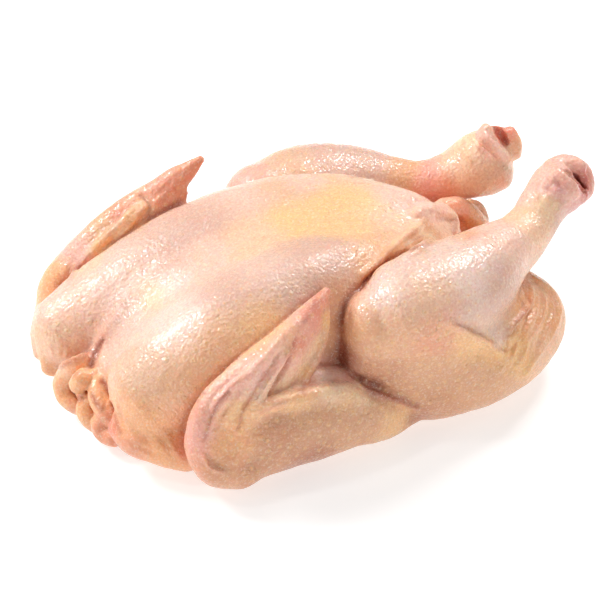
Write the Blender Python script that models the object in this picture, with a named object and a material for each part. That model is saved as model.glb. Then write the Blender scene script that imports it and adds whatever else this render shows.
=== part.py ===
"""A whole raw chicken, plucked and dressed, lying on its back.

Frame: metres, +Z up, the board at z = 0. +X runs from the neck opening to the
hocks, -Y is the bird's right side. The body is one piece of flesh and skin, so
everything is fused into one solid. All limbs are closed lofts: oval sections
strung along a path, given as tables of stations in millimetres."""

import math

import bmesh
import bpy
from mathutils import Vector

MM = 0.001

# ---- driving dimensions, mm ------------------------------------------------
VOXEL = 1.9          # grid that fuses the lofts into one skin
FAIRING = 5          # passes that round the creases between them
TRIANGLES = 8600     # facets of the finished solid
BACK_FLAT = 0.0      # height at which the resting back is pressed flat
ARM_SIDE = 56        # upper arm, out from the middle
KEEL_TOP = 75.5      # ridge of the breastbone over the board
LOBE_SIDE = 31       # crest of each breast half, out from the ridge
THIGH_SIDE = 57      # thigh, out from the middle
FOLD_R = 5.5         # rolls of loose neck skin
BONE_R = 4.3         # finger bones under the wing skin
RIM_R = 4.0          # skin rolled round the cut hock

# ---- the stations: x, y, z, half width, half height up, half height down, roll

CORE = [(-88, 4, 16, 18, 10, 14), (-74, 2, 22, 34, 22, 22), (-50, 0, 28, 42, 34, 28),
        (-20, 0, 30, 50, 41, 30), (5, 0, 30, 50, KEEL_TOP - 31, 30), (30, 0, 30, 44, KEEL_TOP - 30, 30),
        (50, 0, 30, 36, 43, 30), (66, 0, 30, 26, 34, 30), (73, 0, 30, 20, 26, 30)]
BACK = [(-70, 0, 14, 40, 16, 14), (-30, 0, 15, 50, 18, 15), (20, 0, 15, 52, 18, 15),
        (60, 0, 15, 50, 20, 15), (84, 0, 13, 38, 15, 13), (94, 0, 11, 26, 11, 11)]
# the two halves of the breast; the far one reaches further forward
NEAR_LOBE = [(-82, 3 - LOBE_SIDE, 28, 21, 22, 26), (-66, 1 - LOBE_SIDE, 36, 26, 26, 34),
             (-48, -LOBE_SIDE, 41, 28, 31, 38), (-22, 2 - LOBE_SIDE, 45, 28, 33.5, 42),
             (10, 5 - LOBE_SIDE, 46, 27, 31, 42), (42, -19, 46, 22, 23, 36), (64, -9, 44, 12, 12, 28)]
FAR_LOBE = [(-96, LOBE_SIDE + 3, 25, 16, 17, 18), (-80, LOBE_SIDE + 2, 31, 22, 20, 28),
            (-58, LOBE_SIDE, 37, 26, 25, 34), (-30, LOBE_SIDE - 2, 43, 29, 29, 40),
            (6, LOBE_SIDE - 5, 46, 29, 30, 42), (42, 19, 46, 23, 24, 36), (64, 9, 46, 12, 13, 28)]
NECK_STUMP = [(-97, 5, 13, 15, 11, 12), (-86, 2, 17, 22, 17, 16), (-74, 0, 20, 28, 20, 19)]
NEAR_LOW = [(-95, -30, 18, 7, 7, 7), (-92, -37, 17, 8, 8, 8), (-81, -47, 14, 9, 9, 9), (-75, -50, 13, 9, 9, 9)]
# flank skin, drawn from the knee up to the end of the breastbone
FLANK = [(6, -45, 70, 4, 3, 4), (22, -36, 72, 4, 3, 4), (35, -28, 73, 4, 3, 4), (48, -20, 72, 3, 2, 3)]
KEEL_END = [(50, -14, 70, 3, 3, 3), (62, -8, 66, 4, 4, 4), (70, -4, 59, 4, 4, 4), (70, -6, 53, 3, 3, 3), (63, -12, 51, 3, 3, 3)]

NEAR_THIGH = [(5, -THIGH_SIDE, 45, 14, 18, 18), (18, -THIGH_SIDE - 1, 36, 20, 26, 28), (38, -THIGH_SIDE, 29, 26, 35, 29),
              (60, -51, 25, 30, 33, 25), (80, -41, 22, 27, 26, 22), (91, -34, 19, 22, 19, 18), (97, -29, 17, 16, 14, 14)]
NEAR_DRUM = [(6, -60, 57, 15, 15, 15), (12, -61, 58, 20, 20, 20), (26, -60, 60, 23.5, 23, 22), (50, -55, 62, 22.5, 21, 21),
             (70, -48, 64, 16, 16, 15), (83, -43, 65, 12, 12, 12), (92, -39, 68, 10.5, 10.5, 10.5),
             (101, -35, 74, 11, 11, 11), (110, -32, 78, 12.3, 12, 12), (116, -30, 78, 11, 11, 11)]
NEAR_KNEE = [(8, -61, 50, 15, 14, 14), (26, -63, 48, 19, 16, 16), (44, -60, 48, 19, 14, 14)]
# thigh skin folded over the drumstick, and its loose rear flap
KNEE_FOLD = [(30, -77, 56, 1.5, 1.5, 1.5), (37, -78, 52, 3, 3, 3), (46, -77, 45, 4, 4, 4), (55, -74, 35, 4, 4, 4), (66, -69, 20, 3, 3, 3)]
FLAP = [(87, -46, 41, 5, 5, 5), (95, -48, 31, 5, 6, 6), (96, -52, 23, 5, 6, 6), (85, -60, 18, 5, 6, 6), (71, -66, 13, 4, 5, 5)]
NEAR_RIM = [(112, -24, 83), (119, -24, 81), (124, -25, 75), (124, -28, 71), (119, -30, 68)]

FAR_THIGH = [(6, THIGH_SIDE, 43, 15, 18, 20), (20, THIGH_SIDE, 31, 20, 26, 28), (42, 52, 24, 25, 30, 24),
             (66, 43, 21, 29, 28, 21), (86, 34, 19, 29, 25, 19), (96, 29, 15, 22, 18, 15)]
FAR_DRUM = [(10, 58, 51, 15, 15, 15), (21, 60, 48, 20, 19, 19), (38, 60, 47, 22, 19.5, 21), (57, 54, 46, 20, 17.5, 20),
            (73, 46, 46, 14, 13, 14), (84, 38, 49, 10.5, 10.5, 10), (95, 32, 53, 12.5, 11.5, 12),
            (106, 27, 58, 16, 15.5, 15), (113, 24, 61, 15.5, 15, 14.5)]
FAR_RIM = [(103, 20, 79), (110, 20, 78), (117, 19, 71), (120, 19, 64)]

ARM = [(-52, ARM_SIDE - 10, 22, 16, 18, 18), (-32, ARM_SIDE - 4, 24, 16, 21, 18), (-12, ARM_SIDE, 23, 14, 19, 18),
       (4, ARM_SIDE + 3, 18, 10, 13, 13), (14, ARM_SIDE + 6, 13, 8, 8, 8)]
FOREARM = [(-66, -60, 22, 15, 19, 19, -12), (-54, -62, 21, 16, 20, 19, -12), (-32, -64, 20, 15.5, 20, 18, -10),
           (-6, -65, 17, 13, 17, 13.5, -8), (10, -66, 13, 9, 12, 12, -4), (19, -67, 11, 5, 7, 7, 0)]
FOREARM_RIDGE = [(-65, -74, 41), (-54, -73, 43), (-36, -72, 41), (-14, -70, 34), (2, -69, 24), (17, -68, 13)]
NEAR_HAND = [(-62, -66, 36, 8, 9, 9), (-49, -64, 42, 5.5, 9, 9), (-39, -63, 49, 4.5, 9, 9), (-29, -60, 56, 4, 10, 9),
             (-21, -57, 64, 3.5, 8, 8), (-16, -53, 70, 2.5, 4, 4)]
NEAR_LEAD = [(-68, -68, 15, 5, 6, 6), (-75, -66, 16, 7, 7, 8), (-78, -64, 26, 7, 7, 8), (-77, -64, 37, 6.5, 7, 8), (-71, -63, 45, 6.5, 7, 7),
             (-61, -62, 52, 6.5, 6.5, 6.5), (-49, -60, 57, 6, 6, 6), (-37, -58, 63, 5.5, 5.5, 5.5), (-26, -55, 68, 4.5, 4.5, 4.5),
             (-18, -52, 71, 3.4, 3.4, 3.4), (-14, -50, 73, 2.4, 2.4, 2.4)]
NEAR_BONE = [(-67, -67, 29), (-63, -68, 41), (-57, -67, 51), (-48, -65, 58), (-38, -62, 64), (-28, -58, 68)]
FAR_HAND = [(-77, 60, 31, 6, 12, 12), (-59, 56, 50, 5, 8, 10), (-46, 55, 60, 4.5, 6, 9), (-35, 54, 65, 4, 5, 9), (-27, 53, 73, 3, 3, 5)]
FAR_LEAD = [(-86, 66, 17, 9, 12, 12), (-86, 66, 27, 8.5, 9, 12), (-79, 66, 36, 8, 8, 11), (-68, 65, 46, 7.5, 7.5, 10), (-57, 64, 55, 7, 6.5, 9),
            (-48, 62, 61, 6.5, 6, 7), (-39, 59, 67, 6, 6, 7), (-29, 56, 75, 5, 5, 6.5), (-23, 54, 81, 3, 3, 3), (-21, 53, 82, 2.2, 2.2, 2.2)]

# rolls of neck skin between the breast halves, paths only
NECK_ROLLS = [[(-98, 2, 25), (-102, 6, 22), (-105, 8, 15), (-103, 5, 10), (-101, 0, 9)],
              [(-98, -3, 25), (-101, -1, 22)],
              [(-98, -7, 23), (-96, -10, 19), (-95, -15, 16), (-94, -19, 13)],
              [(-100, -6, 15), (-101, -8, 12), (-100, -12, 11)],
              [(-99, -15, 11), (-98, -18, 10), (-96, -22, 10)],
              [(-106, 22, 15), (-104, 26, 16)],
              [(-104, 40, 13), (-103, 42, 23), (-99, 44, 30)]]

TAIL = [(78, 2, 14, 24, 12, 12), (90, 4, 20, 16, 11, 11), (94, 4, 27, 9, 8, 8)]
# the vent: a shallow pocket between two curtains of belly skin
VENT_FAR = [(70, 12, 46, 5, 8, 26), (80, 13, 44, 5, 9, 26), (90, 11, 38, 5, 8, 22), (97, 7, 30, 4.5, 6, 12)]
VENT_NEAR = [(68, -13, 42, 5, 8, 24), (78, -14, 38, 5, 8, 22), (88, -11, 32, 5, 7, 18), (96, -4, 27, 4.5, 6, 12)]
VENT_LIP = [(75, 7, 54, 5, 5, 4), (84, 8, 51, 5, 5, 4), (93, 8, 44, 5.5, 4, 5), (98, 6, 35, 6, 4, 5), (100, 2, 26, 6, 4, 5)]
VENT_TAG = [(94, 14, 47, 3, 3, 3), (99, 14, 43, 3, 3, 3.5), (100, 12, 38, 3, 3, 3.5)]


def tube(path, radius):
    """Stations of a plain round roll along a path."""
    return [(*p, radius, radius, radius) for p in path]


def mirrored(rows, dx=0, dy=0):
    """The same limb on the bird's other side."""
    return [(r[0] + dx, dy - r[1], r[2], *r[3:6], *[-a for a in r[6:]]) for r in rows]


def smooth_rows(rows, count):
    """Stations read off a curve through the given ones, evenly by length."""
    rows = [list(r) + [0.0] * (7 - len(r)) for r in rows]
    t = [0.0]
    for a, b in zip(rows, rows[1:]):
        t.append(t[-1] + max(1e-6, math.dist(a[:3], b[:3])))
    slope = []
    for i in range(len(rows)):
        lo, hi = max(i - 1, 0), min(i + 1, len(rows) - 1)
        slope.append([(q - p) / (t[hi] - t[lo]) for p, q in zip(rows[lo], rows[hi])])
    out = []
    for n in range(count):
        u = t[-1] * n / (count - 1)
        k = max(i for i in range(len(t) - 1) if t[i] <= u + 1e-9)
        h = t[k + 1] - t[k]
        s = (u - t[k]) / h
        w = (2 * s**3 - 3 * s**2 + 1, (s**3 - 2 * s**2 + s) * h, -2 * s**3 + 3 * s**2, (s**3 - s**2) * h)
        out.append([w[0] * a + w[1] * ma + w[2] * b + w[3] * mb
                    for a, ma, b, mb in zip(rows[k], slope[k], rows[k + 1], slope[k + 1])])
    return out


def loft(bm, rows, caps=(0.8, 0.8), up=(0, 0, 1), power=2.0, count=26, sides=28):
    """A closed limb in bm: oval rings along the stations, bridged, with rounded ends."""
    rows = smooth_rows(rows, count)
    up = Vector(up)
    centres = [Vector(r[:3]) for r in rows]
    rings = []

    def ring(centre, along, row, scale):
        side = along.cross(up).normalized()
        top = side.cross(along)
        a = math.radians(row[6])
        side, top = side * math.cos(a) + top * math.sin(a), top * math.cos(a) - side * math.sin(a)
        verts = []
        for n in range(sides):
            c, s = math.cos(2 * math.pi * n / sides), math.sin(2 * math.pi * n / sides)
            c, s = math.copysign(abs(c) ** (2 / power), c), math.copysign(abs(s) ** (2 / power), s)
            high = row[4] if s > 0 else row[5]
            verts.append(bm.verts.new((centre + (side * c * row[3] + top * s * high) * scale) * MM))
        rings.append(verts)

    def along(i):
        return (centres[min(i + 1, count - 1)] - centres[max(i - 1, 0)]).normalized()

    def reach(i, cap):
        return cap * min(rows[i][3], (rows[i][4] + rows[i][5]) / 2)

    steps = [math.sin(math.pi / 2 * n / 6) for n in range(1, 6)]
    for f in reversed(steps):
        ring(centres[0] - along(0) * reach(0, caps[0]) * f, along(0), rows[0], math.sqrt(1 - f * f))
    for i in range(count):
        ring(centres[i], along(i), rows[i], 1.0)
    for f in steps:
        ring(centres[-1] + along(count - 1) * reach(-1, caps[1]) * f, along(count - 1), rows[-1], math.sqrt(1 - f * f))
    for a, b in zip(rings, rings[1:]):
        for n in range(sides):
            m = (n + 1) % sides
            bm.faces.new((a[n], b[n], b[m], a[m]))
    first = bm.verts.new((centres[0] - along(0) * reach(0, caps[0])) * MM)
    last = bm.verts.new((centres[-1] + along(count - 1) * reach(-1, caps[1])) * MM)
    for n in range(sides):
        m = (n + 1) % sides
        bm.faces.new((first, rings[0][n], rings[0][m]))
        bm.faces.new((last, rings[-1][m], rings[-1][n]))


def make_object(name, build):
    bm = bmesh.new()
    build(bm)
    bmesh.ops.recalc_face_normals(bm, faces=bm.faces)
    mesh = bpy.data.meshes.new(name)
    bm.to_mesh(mesh)
    bm.free()
    obj = bpy.data.objects.new(name, mesh)
    bpy.context.scene.collection.objects.link(obj)
    return obj


def flesh(bm):
    loft(bm, CORE, caps=(0.6, 0.3), power=1.9, sides=48)
    loft(bm, BACK, caps=(0.8, 0.9), power=2.6, sides=48)
    loft(bm, NEAR_LOBE, caps=(0.9, 0.6), sides=40)
    loft(bm, FAR_LOBE, caps=(0.8, 0.6), sides=40)
    for rows in (NECK_STUMP, NEAR_LOW, VENT_FAR, VENT_NEAR, FLANK, KEEL_END, NEAR_THIGH, NEAR_KNEE, KNEE_FOLD, FLAP, FAR_THIGH, mirrored(NEAR_KNEE)):
        loft(bm, rows)
    loft(bm, NEAR_DRUM, caps=(0.9, 0.3))
    loft(bm, FAR_DRUM, caps=(0.9, 0.5))
    for path in (NEAR_RIM, FAR_RIM):
        loft(bm, tube(path, RIM_R))
    loft(bm, ARM)
    loft(bm, mirrored(ARM))
    loft(bm, FOREARM)
    loft(bm, mirrored(FOREARM, dx=-10, dy=4))
    for rows in (NEAR_HAND, NEAR_LEAD, FAR_HAND, FAR_LEAD):
        loft(bm, rows)
    loft(bm, tube(FOREARM_RIDGE, BONE_R - 1))
    loft(bm, tube(NEAR_BONE, BONE_R))
    for path in NECK_ROLLS:
        loft(bm, tube(path, FOLD_R), count=14, sides=20)
    loft(bm, TAIL, up=(1, 0, 0.3))
    loft(bm, VENT_LIP)
    loft(bm, VENT_TAG, count=14, sides=20)


def under_board(bm):
    """All that would lie under the board: it presses the back flat."""
    made = bmesh.ops.create_cube(bm, size=1.0)
    for v in made["verts"]:
        v.co.x *= 0.4
        v.co.y *= 0.4
        v.co.z = (v.co.z - 0.5) * 0.05 + BACK_FLAT * MM


def evaluated_copy(obj, name):
    graph = bpy.context.evaluated_depsgraph_get()
    return bpy.data.meshes.new_from_object(obj.evaluated_get(graph), depsgraph=graph)


def main():
    for obj in list(bpy.data.objects):
        bpy.data.objects.remove(obj, do_unlink=True)

    body = make_object("flesh", flesh)
    fuse = body.modifiers.new("fuse", "REMESH")
    fuse.mode = "VOXEL"
    fuse.voxel_size = VOXEL * MM
    fuse.adaptivity = 0.0
    fair = body.modifiers.new("fair", "SMOOTH")
    fair.factor = 0.5
    fair.iterations = FAIRING
    bpy.context.view_layer.update()
    facets = sum(len(p.vertices) - 2 for p in evaluated_copy(body, "count").polygons)
    thin = body.modifiers.new("thin", "DECIMATE")
    thin.ratio = TRIANGLES / facets
    board = make_object("under_board", under_board)
    board.hide_render = True
    board.display_type = "WIRE"
    press = body.modifiers.new("press", "BOOLEAN")
    press.operation = "DIFFERENCE"
    press.solver = "EXACT"
    press.object = board
    bpy.context.view_layer.update()

    # one plain mesh, moved so that the origin lies under the middle of its box
    mesh = evaluated_copy(body, "chicken")
    mesh.name = "chicken"
    bm = bmesh.new()
    bm.from_mesh(mesh)
    bmesh.ops.dissolve_degenerate(bm, dist=0.00005, edges=bm.edges)
    bmesh.ops.triangulate(bm, faces=bm.faces)
    low = [min(v.co[i] for v in bm.verts) for i in range(3)]
    high = [max(v.co[i] for v in bm.verts) for i in range(3)]
    bmesh.ops.translate(bm, verts=bm.verts, vec=(-(low[0] + high[0]) / 2, -(low[1] + high[1]) / 2, -low[2]))
    bm.to_mesh(mesh)
    bm.free()
    for obj in (body, board):
        bpy.data.objects.remove(obj, do_unlink=True)

    skin = bpy.data.materials.new("skin")
    skin.use_nodes = True
    shader = skin.node_tree.nodes["Principled BSDF"]
    shader.inputs["Base Color"].default_value = (0.78, 0.52, 0.42, 1.0)
    shader.inputs["Roughness"].default_value = 0.4
    shader.inputs["Metallic"].default_value = 0.0
    mesh.materials.clear()
    mesh.materials.append(skin)
    mesh.shade_smooth()
    chicken = bpy.data.objects.new("chicken", mesh)
    bpy.context.scene.collection.objects.link(chicken)
    print("box", [round(b - a, 5) for a, b in zip(low, high)], "moved by", round(-(low[0] + high[0]) / 2, 5),
          round(-(low[1] + high[1]) / 2, 5), round(-low[2], 5), "triangles", len(mesh.polygons))


main()
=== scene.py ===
"""A whole raw chicken on its back, seen from its right and a little from the neck end.

The bird is one closed skin. Limbs are lofted from stations in millimetres, turned into
distance fields, joined with a blend chosen joint by joint, meshed, wrinkled and thinned.
Colours are painted on the skin in soft patches, with painted shade in creases, hollows and gaps, and the shader adds
pores and crinkles."""

import math

import bpy
import numpy as np
import openvdb
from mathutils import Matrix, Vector
from mathutils.bvhtree import BVHTree
from mathutils.kdtree import KDTree


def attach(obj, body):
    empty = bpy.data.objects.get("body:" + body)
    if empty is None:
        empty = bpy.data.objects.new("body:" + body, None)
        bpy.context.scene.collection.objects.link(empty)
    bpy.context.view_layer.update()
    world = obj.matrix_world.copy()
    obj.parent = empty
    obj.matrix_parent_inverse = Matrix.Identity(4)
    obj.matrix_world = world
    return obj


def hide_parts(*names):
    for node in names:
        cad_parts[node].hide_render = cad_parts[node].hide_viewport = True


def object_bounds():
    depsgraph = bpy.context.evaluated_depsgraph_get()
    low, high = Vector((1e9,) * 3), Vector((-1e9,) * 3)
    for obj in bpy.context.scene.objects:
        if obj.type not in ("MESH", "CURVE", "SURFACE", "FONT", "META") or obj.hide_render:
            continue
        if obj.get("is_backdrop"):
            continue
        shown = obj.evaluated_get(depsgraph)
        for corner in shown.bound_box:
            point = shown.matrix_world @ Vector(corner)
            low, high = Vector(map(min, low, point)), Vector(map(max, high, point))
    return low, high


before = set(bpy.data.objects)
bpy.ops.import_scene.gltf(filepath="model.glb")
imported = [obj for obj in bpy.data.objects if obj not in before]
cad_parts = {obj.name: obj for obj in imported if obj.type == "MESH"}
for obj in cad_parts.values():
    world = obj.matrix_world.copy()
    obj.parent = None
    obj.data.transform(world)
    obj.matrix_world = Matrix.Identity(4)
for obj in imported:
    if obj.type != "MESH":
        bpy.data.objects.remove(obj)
CAD_LO, CAD_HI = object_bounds()

VOXEL = 0.92                      # mm
FACES = 196000                    # triangles of the finished skin
LO, HI = (-124, -96, -5), (140, 96, 98)

# ---- camera: 0.8 m off, 35 degrees up, 27 degrees round towards the neck ----
AZ, EL, DIST, PX = math.radians(-27.0), math.radians(35.0), 800.0, 2.3
BACK = np.array([math.sin(AZ) * math.cos(EL), -math.cos(AZ) * math.cos(EL), math.sin(EL)])
RIGHT = np.array([math.cos(AZ), math.sin(AZ), 0.0])
UP = np.cross(BACK, RIGHT)
AIM = np.array([0.0, 0.0, 32.0])
EYE = AIM + BACK * DIST


def sight(u, v):
    """Direction from the eye through a point of the 600 x 600 view."""
    d = RIGHT * (u - 300) / (PX * DIST) - UP * (v - 300) / (PX * DIST) - BACK
    return d / np.linalg.norm(d)


def seen(p):
    """Where points in mm show in the view."""
    q = np.asarray(p, float) - EYE
    d = -(q @ BACK)
    return 300 + PX * DIST * (q @ RIGHT) / d, 300 - PX * DIST * (q @ UP) / d


# ---- lofts -----------------------------------------------------------------
def smooth_rows(rows, n):
    r = np.array(rows, float)
    t = np.concatenate([[0], np.cumsum(np.maximum(np.linalg.norm(np.diff(r[:, :3], axis=0), axis=1), 1e-6))])
    m = np.gradient(r, t, axis=0)
    for j in range(1, len(r) - 1):
        a, b = t[j] - t[j - 1], t[j + 1] - t[j]
        m[j] = ((r[j] - r[j - 1]) / a * b + (r[j + 1] - r[j]) / b * a) / (a + b)
    q = np.linspace(0, t[-1], n)
    k = np.clip(np.searchsorted(t, q, side="right") - 1, 0, len(t) - 2)
    h = (t[k + 1] - t[k])[:, None]
    s = ((q - t[k]) / (t[k + 1] - t[k]))[:, None]
    return ((2 * s**3 - 3 * s**2 + 1) * r[k] + (s**3 - 2 * s**2 + s) * h * m[k]
            + (-2 * s**3 + 3 * s**2) * r[k + 1] + (s**3 - s**2) * h * m[k + 1])


def loft(rows, up=(0, 0, 1), n=40, m=48, caps=(0.8, 0.8), power=2.0):
    """A closed limb through stations (x, y, z, half width, half height up, half height down, roll)."""
    r = smooth_rows([list(x) + [0.0] * (7 - len(x)) for x in rows], n)
    c = r[:, :3]
    along = np.gradient(c, axis=0)
    along /= np.linalg.norm(along, axis=1)[:, None]
    ang = np.linspace(0, 2 * math.pi, m, endpoint=False)
    ca, sa = np.cos(ang), np.sin(ang)
    ca, sa = np.sign(ca) * np.abs(ca) ** (2 / power), np.sign(sa) * np.abs(sa) ** (2 / power)

    def ring(centre, T, row, k):
        side = np.cross(T, np.array(up, float))
        side /= np.linalg.norm(side)
        top = np.cross(side, T)
        a = math.radians(row[6])
        s2, t2 = side * math.cos(a) + top * math.sin(a), -side * math.sin(a) + top * math.cos(a)
        return centre + k * (np.outer(ca * row[3], s2) + np.outer(sa * np.where(sa > 0, row[4], row[5]), t2))

    steps = [math.sin(x) for x in np.linspace(0, math.pi / 2, 7)[1:-1]]
    s0 = caps[0] * min(r[0][3], (r[0][4] + r[0][5]) / 2)
    s1 = caps[1] * min(r[-1][3], (r[-1][4] + r[-1][5]) / 2)
    rings = [ring(c[0] - along[0] * s0 * x, along[0], r[0], math.sqrt(1 - x * x)) for x in reversed(steps)]
    rings += [ring(c[i], along[i], r[i], 1.0) for i in range(n)]
    rings += [ring(c[-1] + along[-1] * s1 * x, along[-1], r[-1], math.sqrt(1 - x * x)) for x in steps]
    P = np.concatenate(rings + [(c[0] - along[0] * s0)[None], (c[-1] + along[-1] * s1)[None]])
    k = len(rings)
    i, j = [x.ravel() for x in np.meshgrid(np.arange(k - 1), np.arange(m), indexing="ij")]
    j2 = (j + 1) % m
    quads = np.stack([i * m + j, i * m + j2, (i + 1) * m + j2, (i + 1) * m + j], 1)
    j = np.arange(m)
    j2 = (j + 1) % m
    tris = np.concatenate([np.stack([np.full(m, k * m), j2, j], 1),
                           np.stack([np.full(m, k * m + 1), (k - 1) * m + j, (k - 1) * m + j2], 1)])
    return P, quads, tris


# ---- distance fields -------------------------------------------------------
TR = openvdb.createLinearTransform(voxelSize=VOXEL)
G0 = np.floor(np.array(LO) / VOXEL).astype(int)
G1 = np.ceil(np.array(HI) / VOXEL).astype(int)
SHAPE = tuple(G1 - G0 + 1)
AX = [(np.arange(G0[i], G1[i] + 1) * VOXEL).astype(np.float32) for i in range(3)]


def smin(a, b, k):
    if not isinstance(k, np.ndarray) and k <= 0:
        return np.minimum(a, b)
    h = np.maximum(k - np.abs(a - b), 0) / k
    return np.minimum(a, b) - h * h * (k / 4)


class Field:
    def __init__(self, band):
        self.band = band
        self.f = np.full(SHAPE, band, np.float32)
        self.win = None

    def of(self, mesh):
        P, Q, T = mesh
        a = np.maximum(np.floor((P.min(0) - self.band) / VOXEL).astype(int), G0)
        b = np.minimum(np.ceil((P.max(0) + self.band) / VOXEL).astype(int), G1)
        g = openvdb.FloatGrid.createLevelSetFromPolygons(
            P.astype(np.float32), triangles=T.astype(np.uint32), quads=Q.astype(np.uint32),
            transform=TR, halfWidth=float(math.ceil(self.band / VOXEL) + 1))
        out = np.full(tuple(b - a + 1), self.band, np.float32)
        g.copyToArray(out, ijk=tuple(int(x) for x in a))
        return tuple(slice(int(a[i] - G0[i]), int(b[i] - G0[i] + 1)) for i in range(3)), np.clip(out, -self.band, self.band)

    def grow(self, win):
        self.win = win if self.win is None else tuple(slice(min(p.start, q.start), max(p.stop, q.stop)) for p, q in zip(self.win, win))

    @staticmethod
    def blend_of(k, win):
        if callable(k):
            x, y, z = (AX[i][win[i]].reshape([-1 if j == i else 1 for j in range(3)]) for i in range(3))
            return k(x, y, z)
        return k

    def add(self, mesh, k):
        win, a = self.of(mesh)
        self.f[win] = smin(a, self.f[win], self.blend_of(k, win))
        self.grow(win)

    def cut(self, mesh, k):
        win, a = self.of(mesh)
        self.f[win] = -smin(a, -self.f[win], self.blend_of(k, win))

    def join(self, other, k):
        w = other.win
        self.f[w] = smin(np.clip(other.f[w], -self.band, self.band), self.f[w], self.blend_of(k, w))
        self.grow(w)


def sample(f, p):
    """Trilinear reading of a field at points in mm."""
    q = p / VOXEL - G0
    i = np.clip(np.floor(q).astype(int), 0, np.array(f.shape) - 2)
    t = np.clip(q - i, 0, 1)
    out = 0.0
    for a in (0, 1):
        for b in (0, 1):
            for c in (0, 1):
                w = (t[:, 0] if a else 1 - t[:, 0]) * (t[:, 1] if b else 1 - t[:, 1]) * (t[:, 2] if c else 1 - t[:, 2])
                out = out + w * f[i[:, 0] + a, i[:, 1] + b, i[:, 2] + c]
    return out


def mix(t, a, b, k0, k1):
    t = np.clip((t - a) / (b - a), 0, 1)
    t = t * t * (3 - 2 * t)
    return k0 + (k1 - k0) * t


def mirrored(rows, dx=0, dy=0, dz=0):
    return [(r[0] + dx, dy - r[1], r[2] + dz, *r[3:6], *[-a for a in r[6:]]) for r in rows]


def tube(path, *radius):
    """Stations of a round roll; radius is one number, or one for each point."""
    radius = radius * len(path) if len(radius) == 1 else radius
    return [(*p, r, r, r) for p, r in zip(path, radius)]


# ---- the bird: (group, stations, blend, loft options) ----------------------
ARM = [(-52, -46, 22, 16, 18, 18), (-32, -52, 24, 16, 21, 18), (-12, -56, 23, 14, 19, 18), (4, -59, 18, 10, 13, 13), (14, -62, 13, 8, 8, 8)]
NEAR_ARM = [(-52, -48, 21, 16, 18, 18), (-36, -56, 22, 13, 20, 18), (-22, -60, 23, 12, 20, 18), (-10, -60, 20, 11.5, 16.5, 16), (0, -61, 15, 9, 11, 12), (12, -62, 11, 7, 7, 8)]
FOREARM = [(-66, -60, 22, 15, 19, 19, -12), (-54, -62, 21.5, 16, 20, 19.5, -12), (-32, -64, 20.5, 15.5, 20, 18, -10),
           (-6, -65, 17, 13, 17, 13.5, -8), (10, -66, 13, 9, 12, 12, -4), (19, -67, 11.5, 5, 7, 7, 0)]
LEG_BLEND = lambda x, y, z: mix(x, 28, 60, 14, 2.5)

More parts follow.
